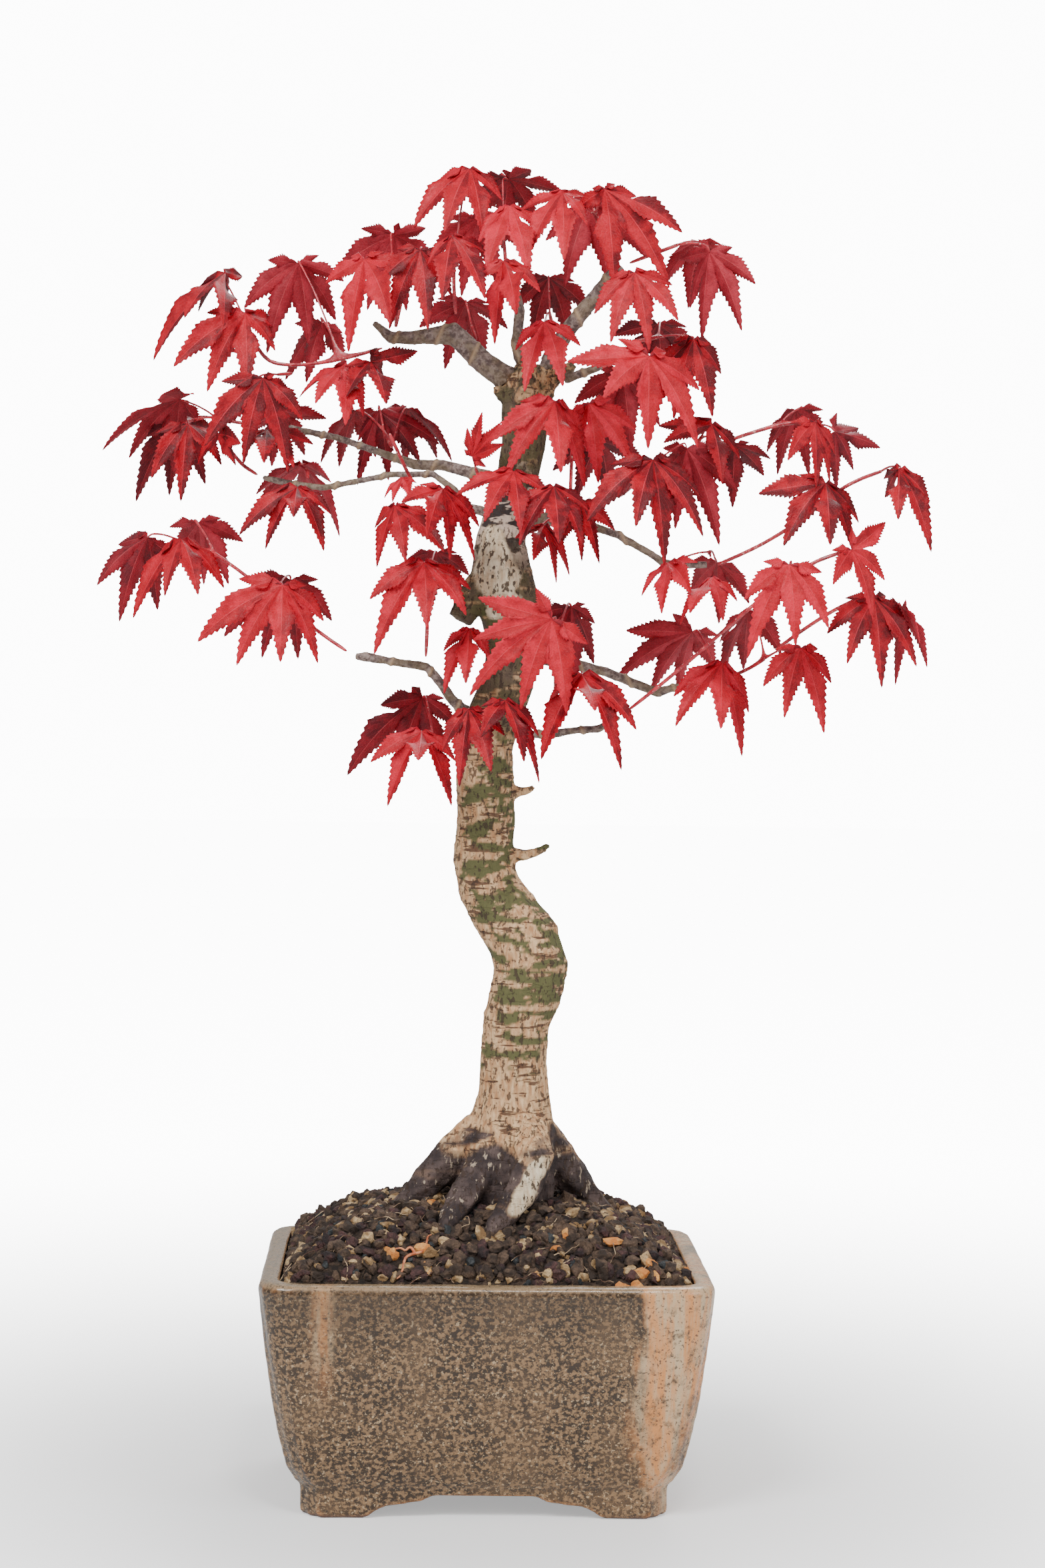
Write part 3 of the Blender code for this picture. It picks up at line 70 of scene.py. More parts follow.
def add_node(tree, kind, inputs=None, **settings):
    """One shader node, with its settings, its values and the sockets that feed it."""
    made = tree.nodes.new(kind)
    for key, value in settings.items():
        setattr(made, key, value)
    for socket, value in (inputs or {}).items():
        if isinstance(value, bpy.types.NodeSocket):
            tree.links.new(value, made.inputs[socket])
        else:
            made.inputs[socket].default_value = value
    return made


def new_material(name, **values):
    """A material with its Principled shader set, its node tree and its Object coordinates."""
    made = bpy.data.materials.new(name)
    made.use_nodes = True
    tree = made.node_tree
    shader = tree.nodes["Principled BSDF"]
    for socket, value in values.items():
        shader.inputs[socket.replace("_", " ")].default_value = value
    place = tree.nodes.new("ShaderNodeTexCoord").outputs["Object"]
    return made, tree, shader, place


def mixed(tree, share, low, high, blend="MIX"):
    """The colour between low and high by share."""
    made = tree.nodes.new("ShaderNodeMix")
    made.data_type, made.blend_type, made.clamp_factor = "RGBA", blend, True
    for index, value in ((0, share), (6, low), (7, high)):
        if isinstance(value, bpy.types.NodeSocket):
            tree.links.new(value, made.inputs[index])
        else:
            made.inputs[index].default_value = value
    return made.outputs[2]


def sums(tree, operation, first, second=0.5, third=0.5):
    """One Math node."""
    made = tree.nodes.new("ShaderNodeMath")
    made.operation = operation
    for index, value in enumerate((first, second, third)):
        if isinstance(value, bpy.types.NodeSocket):
            tree.links.new(value, made.inputs[index])
        else:
            made.inputs[index].default_value = value
    return made.outputs[0]


def rise(tree, value, start, end):
    """0 below start, 1 beyond end, smooth between; start may be above end."""
    return add_node(tree, "ShaderNodeMapRange", {"Value": value, "From Min": start, "From Max": end},
                    interpolation_type="SMOOTHSTEP").outputs["Result"]


def build_fleck_group():
    """Noise of one size and stretch, cut to a mask: the flecks, pores and streaks of every finish."""
    group = bpy.data.node_groups.new("flecks", "ShaderNodeTree")
    face = group.interface
    face.new_socket("Place", in_out="INPUT", socket_type="NodeSocketVector")
    face.new_socket("Stretch", in_out="INPUT", socket_type="NodeSocketVector")
    for socket in ("Scale", "Detail", "Low", "High"):
        face.new_socket(socket, in_out="INPUT", socket_type="NodeSocketFloat")
    face.new_socket("Mask", in_out="OUTPUT", socket_type="NodeSocketFloat")
    entry = group.nodes.new("NodeGroupInput").outputs
    leave = group.nodes.new("NodeGroupOutput")
    spread = add_node(group, "ShaderNodeVectorMath", {0: entry["Place"], 1: entry["Stretch"]},
                      operation="MULTIPLY").outputs[0]
    cloud = add_node(group, "ShaderNodeTexNoise", {"Vector": spread, "Scale": entry["Scale"],
                                                   "Detail": entry["Detail"], "Roughness": 0.6})
    cut = add_node(group, "ShaderNodeMapRange", {"Value": cloud.outputs["Fac"], "From Min": entry["Low"],
                                                 "From Max": entry["High"]},
                   interpolation_type="SMOOTHSTEP")
    group.links.new(cut.outputs["Result"], leave.inputs["Mask"])
    return group


fleck_group = build_fleck_group()


def flecks(tree, place, scale, low, high, detail=3.0, stretch=(1, 1, 1)):
    """A mask of flecks; scale is in flecks per metre, more or less."""
    made = tree.nodes.new("ShaderNodeGroup")
    made.node_tree = fleck_group
    tree.links.new(place, made.inputs["Place"])
    for socket, value in (("Stretch", stretch), ("Scale", scale), ("Detail", detail), ("Low", low),
                          ("High", high)):
        made.inputs[socket].default_value = value
    return made.outputs["Mask"]


def relief(tree, shader, height, depth, strength=1.0):
    """Gives the shader a bump of that height field, depth in metres."""
    bump = add_node(tree, "ShaderNodeBump", {"Height": height, "Distance": depth, "Strength": strength})
    tree.links.new(bump.outputs["Normal"], shader.inputs["Normal"])


def frame_copy(*nodes):
    """The frame's solids of these nodes as one bmesh with its corners merged."""
    bm = bmesh.new()
    for node in nodes:
        bm.from_mesh(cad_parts[node].data)
    bmesh.ops.remove_doubles(bm, verts=bm.verts, dist=2e-6)
    return bm


def place_piece(name, bm, slot, nodes, *materials, smooth=True):
    """Makes the bmesh a piece of the tree that stands for these nodes."""
    mesh = bpy.data.meshes.new(name)
    bm.to_mesh(mesh)
    bm.free()
    for polygon in mesh.polygons:
        polygon.use_smooth = smooth
    for material in materials:
        mesh.materials.append(material)
    piece = bpy.data.objects.new(name, mesh)
    bpy.context.scene.collection.objects.link(piece)
    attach(piece, "root")
    if nodes:
        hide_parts(*nodes)
    return piece


def remeshed(bm, voxel, passes):
    """The solid in even quads about one voxel across, smoothed so many times."""
    mesh = bpy.data.meshes.new("rough")
    bm.to_mesh(mesh)
    bm.free()
    rough = bpy.data.objects.new("rough", mesh)
    bpy.context.scene.collection.objects.link(rough)
    modifier = rough.modifiers.new("even", "REMESH")
    modifier.mode, modifier.voxel_size = "VOXEL", voxel
    even = rough.evaluated_get(bpy.context.evaluated_depsgraph_get()).to_mesh()
    made = bmesh.new()
    made.from_mesh(even)
    bpy.data.objects.remove(rough)
    bpy.data.meshes.remove(mesh)
    for _ in range(passes):
        bmesh.ops.smooth_vert(made, verts=made.verts, factor=0.5, use_axis_x=True, use_axis_y=True,
                              use_axis_z=True)
    made.normal_update()
    return made


pot_low, pot_high = (Vector(corner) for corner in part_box("pot"))
pot_bm = remeshed(frame_copy("pot"), POT_VOXEL, 3)
for vert in pot_bm.verts:
    vert.co += vert.normal * (noise.noise(vert.co * 55) * 0.00022 + noise.noise(vert.co * 190) * 0.00007)
    vert.co.z = max(vert.co.z, 0.0)

glaze, tree, shader, place = new_material("iron glaze", Coat_Weight=0.45, Coat_Roughness=0.06,
                                          Specular_IOR_Level=0.3)
axes = add_node(tree, "ShaderNodeSeparateXYZ", {0: place}).outputs
fine = flecks(tree, place, 620, 0.44, 0.60, 4, (1, 1, 1.15))
specks = flecks(tree, place, 900, 0.58, 0.66, 2)
drift = flecks(tree, place, 46, 0.40, 0.68, 3, (1, 1, 0.8))
colour = mixed(tree, fine, GLAZE_DARK, GLAZE_TAN)
colour = mixed(tree, sums(tree, "MULTIPLY", drift, 0.30), colour, GLAZE_TAN)
# Painted glints: sparse pale specks stand in for light caught on the glossy glaze.
glint_specks = flecks(tree, place, 780, 0.60, 0.68, 2)
colour = mixed(tree, sums(tree, "MULTIPLY", glint_specks, 0.7), colour, GLAZE_PALE)
warp = flecks(tree, place, 26, 0.3, 0.7, 4, (1, 1, 0.5))
# Painted shade: the upper wall under the lip is painted darker.
under_lip_shade = rise(tree, sums(tree, "MULTIPLY_ADD", warp, 0.012, axes["Z"]), 0.068, 0.094)
colour = mixed(tree, sums(tree, "MULTIPLY", under_lip_shade, 0.50), colour, GLAZE_DARK)
reach = sums(tree, "MULTIPLY_ADD", warp, RUN_DRIFT, sums(tree, "SUBTRACT", axes["X"], RUN_DRIFT / 2))
half_run = sums(tree, "MULTIPLY_ADD", axes["Z"], 0.16, 0.001)
run_side = sums(tree, "ABSOLUTE", sums(tree, "SUBTRACT", reach, RUN_MIDDLE))
run = rise(tree, sums(tree, "SUBTRACT", half_run, run_side), -0.006, 0.004)
streak = rise(tree, sums(tree, "ABSOLUTE", sums(tree, "ADD", axes["X"], STREAK_MIDDLE)), 0.006, 0.001)
streak = sums(tree, "MULTIPLY", streak, rise(tree, axes["Z"], 0.040, 0.066))
run = sums(tree, "MAXIMUM", run, sums(tree, "MULTIPLY", streak, 0.42))
run = sums(tree, "MULTIPLY", run, flecks(tree, place, 240, 0.26, 0.50, 3))
drips = flecks(tree, place, 260, 0.38, 0.66, 3, (1, 1, 0.10))
colour = mixed(tree, run, colour, mixed(tree, drips, GLAZE_RUN, GLAZE_PALE))
bend = add_node(tree, "ShaderNodeNewGeometry").outputs["Pointiness"]
colour = mixed(tree, sums(tree, "MULTIPLY", rise(tree, bend, 0.515, 0.56), 0.60), colour, GLAZE_RUN)
colour = mixed(tree, sums(tree, "MULTIPLY", rise(tree, bend, 0.485, 0.44), 0.75), colour, GLAZE_DARK)
# Painted highlight: the top of the lip is painted paler, standing in for light caught on the glaze.
lip = rise(tree, axes["Z"], pot_high.z - LIP_HIGHLIGHT_START, pot_high.z - LIP_HIGHLIGHT_FULL)
colour = mixed(tree, sums(tree, "MULTIPLY", lip, 0.35), colour, GLAZE_PALE)
colour = mixed(tree, sums(tree, "MULTIPLY", specks, 0.75), colour, (0.035, 0.024, 0.018, 1))
foot = rise(tree, sums(tree, "MULTIPLY_ADD", warp, 0.002, axes["Z"]), FOOT_START, FOOT_FULL)
colour = mixed(tree, foot, colour, BARE_CLAY)
tree.links.new(colour, shader.inputs["Base Color"])
rough = sums(tree, "MULTIPLY_ADD", fine, 0.16, 0.24)
tree.links.new(sums(tree, "MULTIPLY_ADD", foot, 0.45, rough), shader.inputs["Roughness"])
relief(tree, shader, sums(tree, "MULTIPLY_ADD", specks, -0.6, fine), 0.00012, 0.5)
place_piece("glazed_pot", pot_bm, "pot_glaze", ["pot"], glaze)


# ---- drain mesh and wires -----------------------------------------------------------------------
# Moulded plastic mesh over both drain holes, held by staples of anodised aluminium wire that are
# pushed through the holes and folded flat under the pot.
mesh_black, tree, shader, place = new_material("drain mesh plastic", Roughness=0.55)
dust = flecks(tree, place, 700, 0.45, 0.75)
tree.links.new(mixed(tree, dust, (0.018, 0.018, 0.018, 1), (0.07, 0.055, 0.04, 1)),
               shader.inputs["Base Color"])
relief(tree, shader, dust, 0.0001, 0.5)
wire_brown, tree, shader, place = new_material("anodised wire", Metallic=1.0)
scuff = flecks(tree, place, 900, 0.5, 0.7, 3, (0.2, 1, 1))
tree.links.new(mixed(tree, scuff, (0.42, 0.23, 0.13, 1), (0.75, 0.62, 0.52, 1)),
               shader.inputs["Base Color"])
tree.links.new(sums(tree, "MULTIPLY_ADD", scuff, 0.2, 0.3), shader.inputs["Roughness"])
for side in ("left", "right"):
    for node, finish in ((f"drain_mesh_{side}", mesh_black), (f"mesh_wire_{side}", wire_brown)):
        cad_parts[node].data.materials.clear()
        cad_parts[node].data.materials.append(finish)


# ---- soil ---------------------------------------------------------------------------------------
# Fired clay, lava and pumice grit of 2 to 7 mm, heaped round the roots. The mound under it is packed
# fines; each loose grain is a worn lump of one of five stones, and dead fine roots lie among them.
SOIL_VOXEL = 0.0022
GRAIN_KINDS = [
    # name, share, least and greatest radius, darker and lighter colour
    ("grit_clay", 0.50, 0.0011, 0.0029, (0.032, 0.020, 0.014, 1), (0.125, 0.078, 0.050, 1)),
    ("grit_lava", 0.26, 0.0010, 0.0026, (0.020, 0.012, 0.012, 1), (0.090, 0.040, 0.036, 1)),
    ("grit_pumice", 0.17, 0.0010, 0.0027, (0.22, 0.125, 0.052, 1), (0.62, 0.44, 0.235, 1)),
    ("grit_charcoal", 0.06, 0.0010, 0.0022, (0.014, 0.016, 0.018, 1), (0.055, 0.060, 0.062, 1)),
    ("grit_amber", 0.007, 0.0012, 0.0026, (0.58, 0.20, 0.045, 1), (0.82, 0.42, 0.13, 1)),
]
GRAIN_COUNT = 3400
GRAIN_BULK = 1.18            # how much larger a grain is than the room it is given, so the grains touch
AMBER_RADIUS = 0.0027
AMBER_SPOTS = [(0.042, 0.110), (0.047, 0.102), (0.057, 0.092), (0.052, 0.0865), (0.055, 0.088),
               (0.049, 0.087), (-0.085, 0.0925), (-0.080, 0.097), (0.030, 0.104), (-0.024, 0.099)]
RIM_MARGIN = 0.0090          # from the outside of the pot to where loose grains may lie
FIBRE_COUNT = 90
stone_dice = random.Random(11)

soil_bm = remeshed(frame_copy("soil"), SOIL_VOXEL, 2)
for vert in soil_bm.verts:
    if vert.normal.z > 0.2 and vert.co.z > pot_high.z - 0.006:
        vert.co += vert.normal * (noise.noise(vert.co * 420) * 0.0009 - 0.0006)
fines, tree, shader, place = new_material("packed fines", Roughness=0.95)
lumps = flecks(tree, place, 420, 0.35, 0.68, 4)
tree.links.new(mixed(tree, lumps, (0.012, 0.008, 0.006, 1), (0.075, 0.046, 0.030, 1)),
               shader.inputs["Base Color"])
relief(tree, shader, lumps, 0.0008)
soil_piece = place_piece("soil_mound", soil_bm, "soil", ["soil"], fines)
soil_piece.data.calc_loop_triangles()
soil_verts = soil_piece.data.vertices
soil_triangles = [[soil_verts[i].co.copy() for i in triangle.vertices]
                  for triangle in soil_piece.data.loop_triangles
                  if triangle.normal.z > 0.25 and soil_verts[triangle.vertices[0]].co.z > pot_high.z - 0.004]
soil_areas = list(accumulate((b - a).cross(c - a).length / 2 for a, b, c in soil_triangles))
soil_tree = BVHTree.FromPolygons([vert.co for vert in soil_verts],
                                 [tuple(polygon.vertices) for polygon in soil_piece.data.polygons])


pebble = bmesh.new()
bmesh.ops.create_uvsphere(pebble, u_segments=7, v_segments=5, radius=1.0)
pebble.verts.index_update()


def add_grain(heap, centre, radius, dice):
    """Adds one worn lump of grit to a heap of corners and faces."""
    corners, faces = heap
    seed = Vector((dice.uniform(0, 50), dice.uniform(0, 50), dice.uniform(0, 50)))
    shape = Matrix.Rotation(dice.uniform(0, math.tau), 4,
                            Vector((dice.gauss(0, 1), dice.gauss(0, 1), 1.01)))
    shape = shape @ Matrix.Diagonal((dice.uniform(0.8, 1.25), dice.uniform(0.7, 1.0),
                                     dice.uniform(0.6, 0.9), 1))
    first = len(corners)
    for vert in pebble.verts:
        bulge = 1 + 0.60 * noise.noise(vert.co * 1.3 + seed)
        corners.append(centre + (shape @ (vert.co * bulge)) * radius * GRAIN_BULK)
    faces += [[first + vert.index for vert in face.verts] for face in pebble.faces]


def soil_spot(dice):
    """A random point on the mound's top."""
    a, b, c = dice.choices(soil_triangles, cum_weights=soil_areas)[0]
    s, t = dice.random(), dice.random()
    if s + t > 1:
        s, t = 1 - s, 1 - t
    return a + (b - a) * s + (c - a) * t


heaps = {kind[0]: ([], []) for kind in GRAIN_KINDS}
inner_x, inner_y = pot_high.x - RIM_MARGIN, pot_high.y - RIM_MARGIN
for _ in range(GRAIN_COUNT):
    kind = stone_dice.choices(GRAIN_KINDS, [kind[1] for kind in GRAIN_KINDS])[0]
    radius = kind[2] + (kind[3] - kind[2]) * stone_dice.random() ** 1.3
    spot = soil_spot(stone_dice)
    spot.x = max(-inner_x + radius, min(inner_x - radius, spot.x))
    spot.y = max(-inner_y + radius, min(inner_y - radius, spot.y))
    spot.z += radius * stone_dice.uniform(-0.1, 0.6)
    add_grain(heaps[kind[0]], spot, radius, stone_dice)
for x, z in AMBER_SPOTS:
    hit, normal, index, reach = soil_tree.ray_cast(Vector((x, -0.2, z)), Vector((0, 1, 0)))
    if hit:
        add_grain(heaps["grit_amber"], hit + Vector((0, -0.0012, 0)), AMBER_RADIUS, stone_dice)
for name, share, least, most, dark, light in GRAIN_KINDS:
    stone, tree, shader, place = new_material(name.replace("_", " "), Roughness=0.88)
    broad = flecks(tree, place, 210, 0.38, 0.62, 2)
    pores = flecks(tree, place, 1500, 0.36, 0.60, 3)
    colour = mixed(tree, broad, dark, light)
    colour = mixed(tree, sums(tree, "MULTIPLY", sums(tree, "SUBTRACT", 1.0, pores), 0.5), colour, dark)
    tree.links.new(colour, shader.inputs["Base Color"])
    relief(tree, shader, pores, 0.00025, 0.7)
    heap_mesh = bpy.data.meshes.new("heap")
    heap_mesh.from_pydata(heaps[name][0], [], heaps[name][1])
    heap_bm = bmesh.new()
    heap_bm.from_mesh(heap_mesh)
    bpy.data.meshes.remove(heap_mesh)
    place_piece(name, heap_bm, "soil", [], stone, smooth=False)


def fibre_piece(name, routes, radius, finish):
    """Thin round fibres, one for each route of points, as one curve piece."""
    data = bpy.data.curves.new(name, "CURVE")
    data.dimensions, data.bevel_depth, data.bevel_resolution = "3D", radius, 1
    data.use_fill_caps = True
    data.resolution_u = 2
    for route in routes:
        line = data.splines.new("NURBS")
        line.points.add(len(route) - 1)
        for step, (point, spot) in enumerate(zip(line.points, route)):
            point.co = (*spot, 1)
            point.radius = 1 - 0.7 * step / len(route)
        line.use_endpoint_u = True
        line.order_u = 3
    data.materials.append(finish)
    piece = bpy.data.objects.new(name, data)
    bpy.context.scene.collection.objects.link(piece)
    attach(piece, "root")
    return piece


def creeping_route(start, heading, length, dice):
    """Points of a fibre that lies over the grit from start."""
    route, spot = [], start.copy()
    for _ in range(7):
        hit, normal, index, reach = soil_tree.ray_cast(spot + Vector((0, 0, 0.03)), Vector((0, 0, -1)))
        ground = hit.z if hit else spot.z
        route.append(Vector((spot.x, spot.y, ground + 0.0022 + dice.uniform(-0.0008, 0.0012))))
        heading += dice.uniform(-0.7, 0.7)
        spot = spot + Vector((math.cos(heading), math.sin(heading), 0)) * length / 6
        spot.x = max(-inner_x, min(inner_x, spot.x))
        spot.y = max(-inner_y, min(inner_y, spot.y))
    return route


dry_root, tree, shader, place = new_material("dry fine root", Roughness=0.7)
faded = flecks(tree, place, 150, 0.4, 0.6)
tree.links.new(mixed(tree, faded, (0.10, 0.042, 0.026, 1), (0.50, 0.36, 0.22, 1)), shader.inputs["Base Color"])
fibres = [creeping_route(soil_spot(stone_dice), stone_dice.uniform(0, math.tau),
                         stone_dice.uniform(0.006, 0.020), stone_dice) for _ in range(FIBRE_COUNT)]
fibre_piece("fine_roots", fibres, 0.00022, dry_root)
live_root, tree, shader, place = new_material("orange root", Roughness=0.5)
tree.links.new(mixed(tree, flecks(tree, place, 300, 0.4, 0.6), (0.42, 0.10, 0.035, 1), (0.70, 0.28, 0.13, 1)),
               shader.inputs["Base Color"])
fork = Vector((-0.027, -0.049, pot_high.z))
forks = [creeping_route(fork, heading, length, random.Random(5))
         for heading, length in ((2.9, 0.013), (-0.3, 0.011), (1.7, 0.009))]
fibre_piece("orange_root", forks, 0.00065, live_root)


# ---- trunk, branches and twigs ------------------------------------------------------------------
# One living piece of maple wood: a bent trunk on flared surface roots, with cut and callused stubs.
# Its bark is olive where it is young, split by tan corky rings lower down, dark and damp at the soil,
# with painted shade in the recess between the roots at the front, and pale where wounds have healed.
# The twigs are smooth and grey-mauve with tan rings at the buds.
TRUNK_VOXEL = 0.00095
TWIG_VOXEL = 0.00055
TRUNK_SLICE = 0.004          # height of the slices whose middles are kept as the trunk's core
CORK_TOP, CORK_FULL = 0.300, 0.285      # the corky bark fades out upwards between these heights
CALLUS_HEIGHT = 0.351
COLLAR_HEIGHT = 0.3315
RING_SPACING, RING_WIDTH = 0.0165, 0.0008
CORK_TAN = (0.46, 0.225, 0.100, 1)
CORK_CREAM = (0.80, 0.53, 0.29, 1)
BARK_OLIVE = (0.090, 0.075, 0.030, 1)
BARK_GREEN = (0.112, 0.108, 0.038, 1)
BARK_SLATE = (0.110, 0.074, 0.052, 1)
DAMP_AND_SHADE_DARK = (0.030, 0.019, 0.019, 1)
WOOD_NODES = sorted(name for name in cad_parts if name.startswith(("branch_", "twig_")))

trunk_bm = remeshed(frame_copy("trunk"), TRUNK_VOXEL, 2)
trunk_core = {}
for vert in trunk_bm.verts:
    trunk_core.setdefault(round(vert.co.z / TRUNK_SLICE), []).append(vert.co.copy())
trunk_core = {level: sum(places, Vector()) / len(places) for level, places in trunk_core.items()}


def between(value, low, high):
    """0 below low, 1 above high, straight between."""
    return max(0.0, min(1.0, (value - low) / (high - low)))


def cloud(place, scale, seed=0.0):
    """Soft noise from -1 to 1."""
    return noise.fractal(place * scale + Vector((seed, seed, seed)), 0.8, 2.1, 3)


def bark_zones(place):
    """Shares of cork, green, damp bark with painted shade, callus and streaks at a point of the bark, its ring
    height and its knob.
    """
    core = trunk_core.get(round(place.z / TRUNK_SLICE), place)
    turn = math.atan2(place.x - core.x, -(place.y - core.y))
    z = place.z
    edge = cloud(Vector((turn * 0.010, 0.0, z)), 120) * 0.010
    wave = math.sin(turn + z * 60)
    corky = between(z + edge, CORK_TOP, CORK_FULL)
    patch = cloud(Vector((turn * 0.011, 0.004 * wave, z * 1.3)), 75, 3.0)
    ring = cloud(Vector((turn * 0.003, 0.0, z)), 330, 7.0)
    green = corky * between(patch + 0.25 * math.cos(turn - 0.6), 0.02, 0.10) * between(z + edge, 0.163, 0.167)
    green *= between(0.10 - ring, -0.05, 0.02)
    cork = max(corky * (1 - green), between(ring, 0.34, 0.44) * between(z, 0.44, 0.30) * 0.8)
    callus = Vector(((turn + 0.18) / 0.95, (z - CALLUS_HEIGHT + 0.006 * math.sin(turn * 2)) / 0.0175))
    pale = between(1.0 - callus.length + edge * 22, 0.0, 0.12)
    streaks = between(z, 0.350, 0.368) * between(z + edge, 0.392, 0.384)
    collar = between(0.0095 - abs(z - COLLAR_HEIGHT + edge * 0.3), 0.0, 0.002)
    collar *= between(math.cos(turn - 0.35), 0.2, 0.5)
    green = max(green, collar * (1 - pale))
    damp_and_hollow_shade = between(z + edge * 1.6 + 0.005 * math.cos(turn * 2), 0.136, 0.126)
    # Painted shade: a dark patch in the recess between the roots, on the front only.
    hollow_shade = Vector(((place.x - 0.003) / 0.013, (z - 0.124) / 0.010)).length
    damp_and_hollow_shade = max(damp_and_hollow_shade, between(1.0 - hollow_shade + edge * 30, 0.0, 0.2)) if place.y < 0 else damp_and_hollow_shade
    ridge = Vector(((place.x - 0.0160 - (z - 0.1215) * 0.50) / 0.0052, (z - 0.1215) / 0.0120))
    dry_back = between(1.0 - ridge.length + edge * 30, 0.0, 0.15) if place.y < -0.004 else 0.0
    damp_and_hollow_shade *= 1 - dry_back
    pale = max(pale, dry_back)
    knob = between(z + edge * 0.4, 0.4165, 0.4205)
    cork = max(cork, knob * between(cloud(place, 170, 2), -0.25, 0.05))
    return cork * (1 - pale), green, damp_and_hollow_shade, pale, streaks * (1 - pale), ring, knob


def paint(bm, name, painter):
    """Stores the painter's three shares of every corner point as a colour attribute."""
    layer = bm.verts.layers.float_color.new(name)
    for vert in bm.verts:
        vert[layer] = (*painter(vert), 1)


zone_of = {}
for vert in trunk_bm.verts:
    cork, green, damp_and_hollow_shade, pale, streaks, ring, knob = bark_zones(vert.co)
    zone_of[vert.index] = (cork, green, damp_and_hollow_shade, pale, streaks, knob)
    ridge = max(0.0, ring) * cork * between(vert.co.z, 0.150, 0.175) * 0.0006
    fibre = cloud(Vector((vert.co.x * 3, vert.co.y * 3, vert.co.z * 0.6)), 150, 5) * 0.00022
    gnarl = cloud(vert.co, 90, 9) * 0.0011 * between(vert.co.z, 0.150, 0.120)
    lump = knob * cloud(vert.co, 210, 4) * 0.0013
    vert.co += vert.normal * (ridge + fibre + gnarl + lump + pale * 0.0004)
paint(trunk_bm, "cork_green_damp_shade", lambda vert: zone_of[vert.index][:3])
paint(trunk_bm, "callus_streak_knob", lambda vert: zone_of[vert.index][3:])

bark, tree, shader, place = new_material("maple bark", Roughness=0.82)
first = add_node(tree, "ShaderNodeAttribute", attribute_name="cork_green_damp_shade").outputs["Color"]
second = add_node(tree, "ShaderNodeAttribute", attribute_name="callus_streak_knob").outputs["Color"]
cork, green, damp_and_hollow_shade = add_node(tree, "ShaderNodeSeparateColor", {0: first}).outputs
callus, streaked, knobbed = add_node(tree, "ShaderNodeSeparateColor", {0: second}).outputs
pits = flecks(tree, place, 640, 0.545, 0.61, 3, (1, 1, 0.50))
grain = flecks(tree, place, 560, 0.30, 0.72, 4, (1, 1, 0.30))
blots = flecks(tree, place, 95, 0.38, 0.66, 3)
cracks = flecks(tree, place, 330, 0.555, 0.63, 3, (0.30, 0.30, 1.7))
colour = mixed(tree, blots, BARK_OLIVE, BARK_SLATE)
colour = mixed(tree, sums(tree, "MULTIPLY", grain, 0.40), colour, (0.21, 0.155, 0.085, 1))
colour = mixed(tree, green, colour, BARK_GREEN)
tan = mixed(tree, grain, CORK_TAN, CORK_CREAM)
tan = mixed(tree, sums(tree, "MULTIPLY", cracks, 0.9), tan, (0.085, 0.036, 0.018, 1))
colour = mixed(tree, cork, colour, tan)
stripe = mixed(tree, flecks(tree, place, 165, 0.47, 0.53, 3, (0.45, 0.45, 1.5)), (0.030, 0.020, 0.018, 1),
               (0.60, 0.46, 0.36, 1))
colour = mixed(tree, streaked, colour, stripe)
scar = mixed(tree, grain, (0.56, 0.40, 0.245, 1), (0.86, 0.74, 0.54, 1))
scar = mixed(tree, sums(tree, "MULTIPLY", pits, 0.7), scar, (0.20, 0.155, 0.095, 1))
colour = mixed(tree, callus, colour, scar)
damp_and_shade_tint = mixed(tree, blots, DAMP_AND_SHADE_DARK, (0.115, 0.078, 0.068, 1))
damp_and_shade_tint = mixed(tree, rise(tree, grain, 0.82, 0.97), damp_and_shade_tint, (0.42, 0.33, 0.24, 1))
# Damp bark near the soil, and the painted shade of the recess between the roots.
colour = mixed(tree, damp_and_hollow_shade, colour, damp_and_shade_tint)
colour = mixed(tree, sums(tree, "MULTIPLY", pits, 0.80), colour, (0.045, 0.024, 0.014, 1))
tree.links.new(colour, shader.inputs["Base Color"])
height = sums(tree, "MULTIPLY_ADD", pits, -0.7, grain)
height = sums(tree, "MULTIPLY_ADD", cracks, -0.9, height)
relief(tree, shader, height, 0.00035, 0.85)
trunk_piece = place_piece("trunk_wood", trunk_bm, "bark", ["trunk"], bark)
trunk_tree = BVHTree.FromPolygons([vert.co for vert in trunk_piece.data.vertices],
                                  [tuple(polygon.vertices) for polygon in trunk_piece.data.polygons])

twig_bark, tree, shader, place = new_material("twig bark", Roughness=0.62)
streaks = flecks(tree, place, 520, 0.36, 0.66, 4)
blots = flecks(tree, place, 130, 0.42, 0.60, 2)
colour = mixed(tree, streaks, (0.095, 0.060, 0.052, 1), (0.36, 0.27, 0.235, 1))
colour = mixed(tree, sums(tree, "MULTIPLY", blots, 0.55), colour, (0.185, 0.135, 0.066, 1))
dots = flecks(tree, place, 700, 0.62, 0.68, 2)
colour = mixed(tree, sums(tree, "MULTIPLY", dots, 0.8), colour, (0.13, 0.070, 0.055, 1))
bud_ring = add_node(tree, "ShaderNodeAttribute", attribute_name="bud_rings").outputs["Fac"]
colour = mixed(tree, sums(tree, "MULTIPLY", bud_ring, 0.7), colour, (0.52, 0.35, 0.20, 1))
tree.links.new(colour, shader.inputs["Base Color"])
relief(tree, shader, streaks, 0.0002, 0.6)
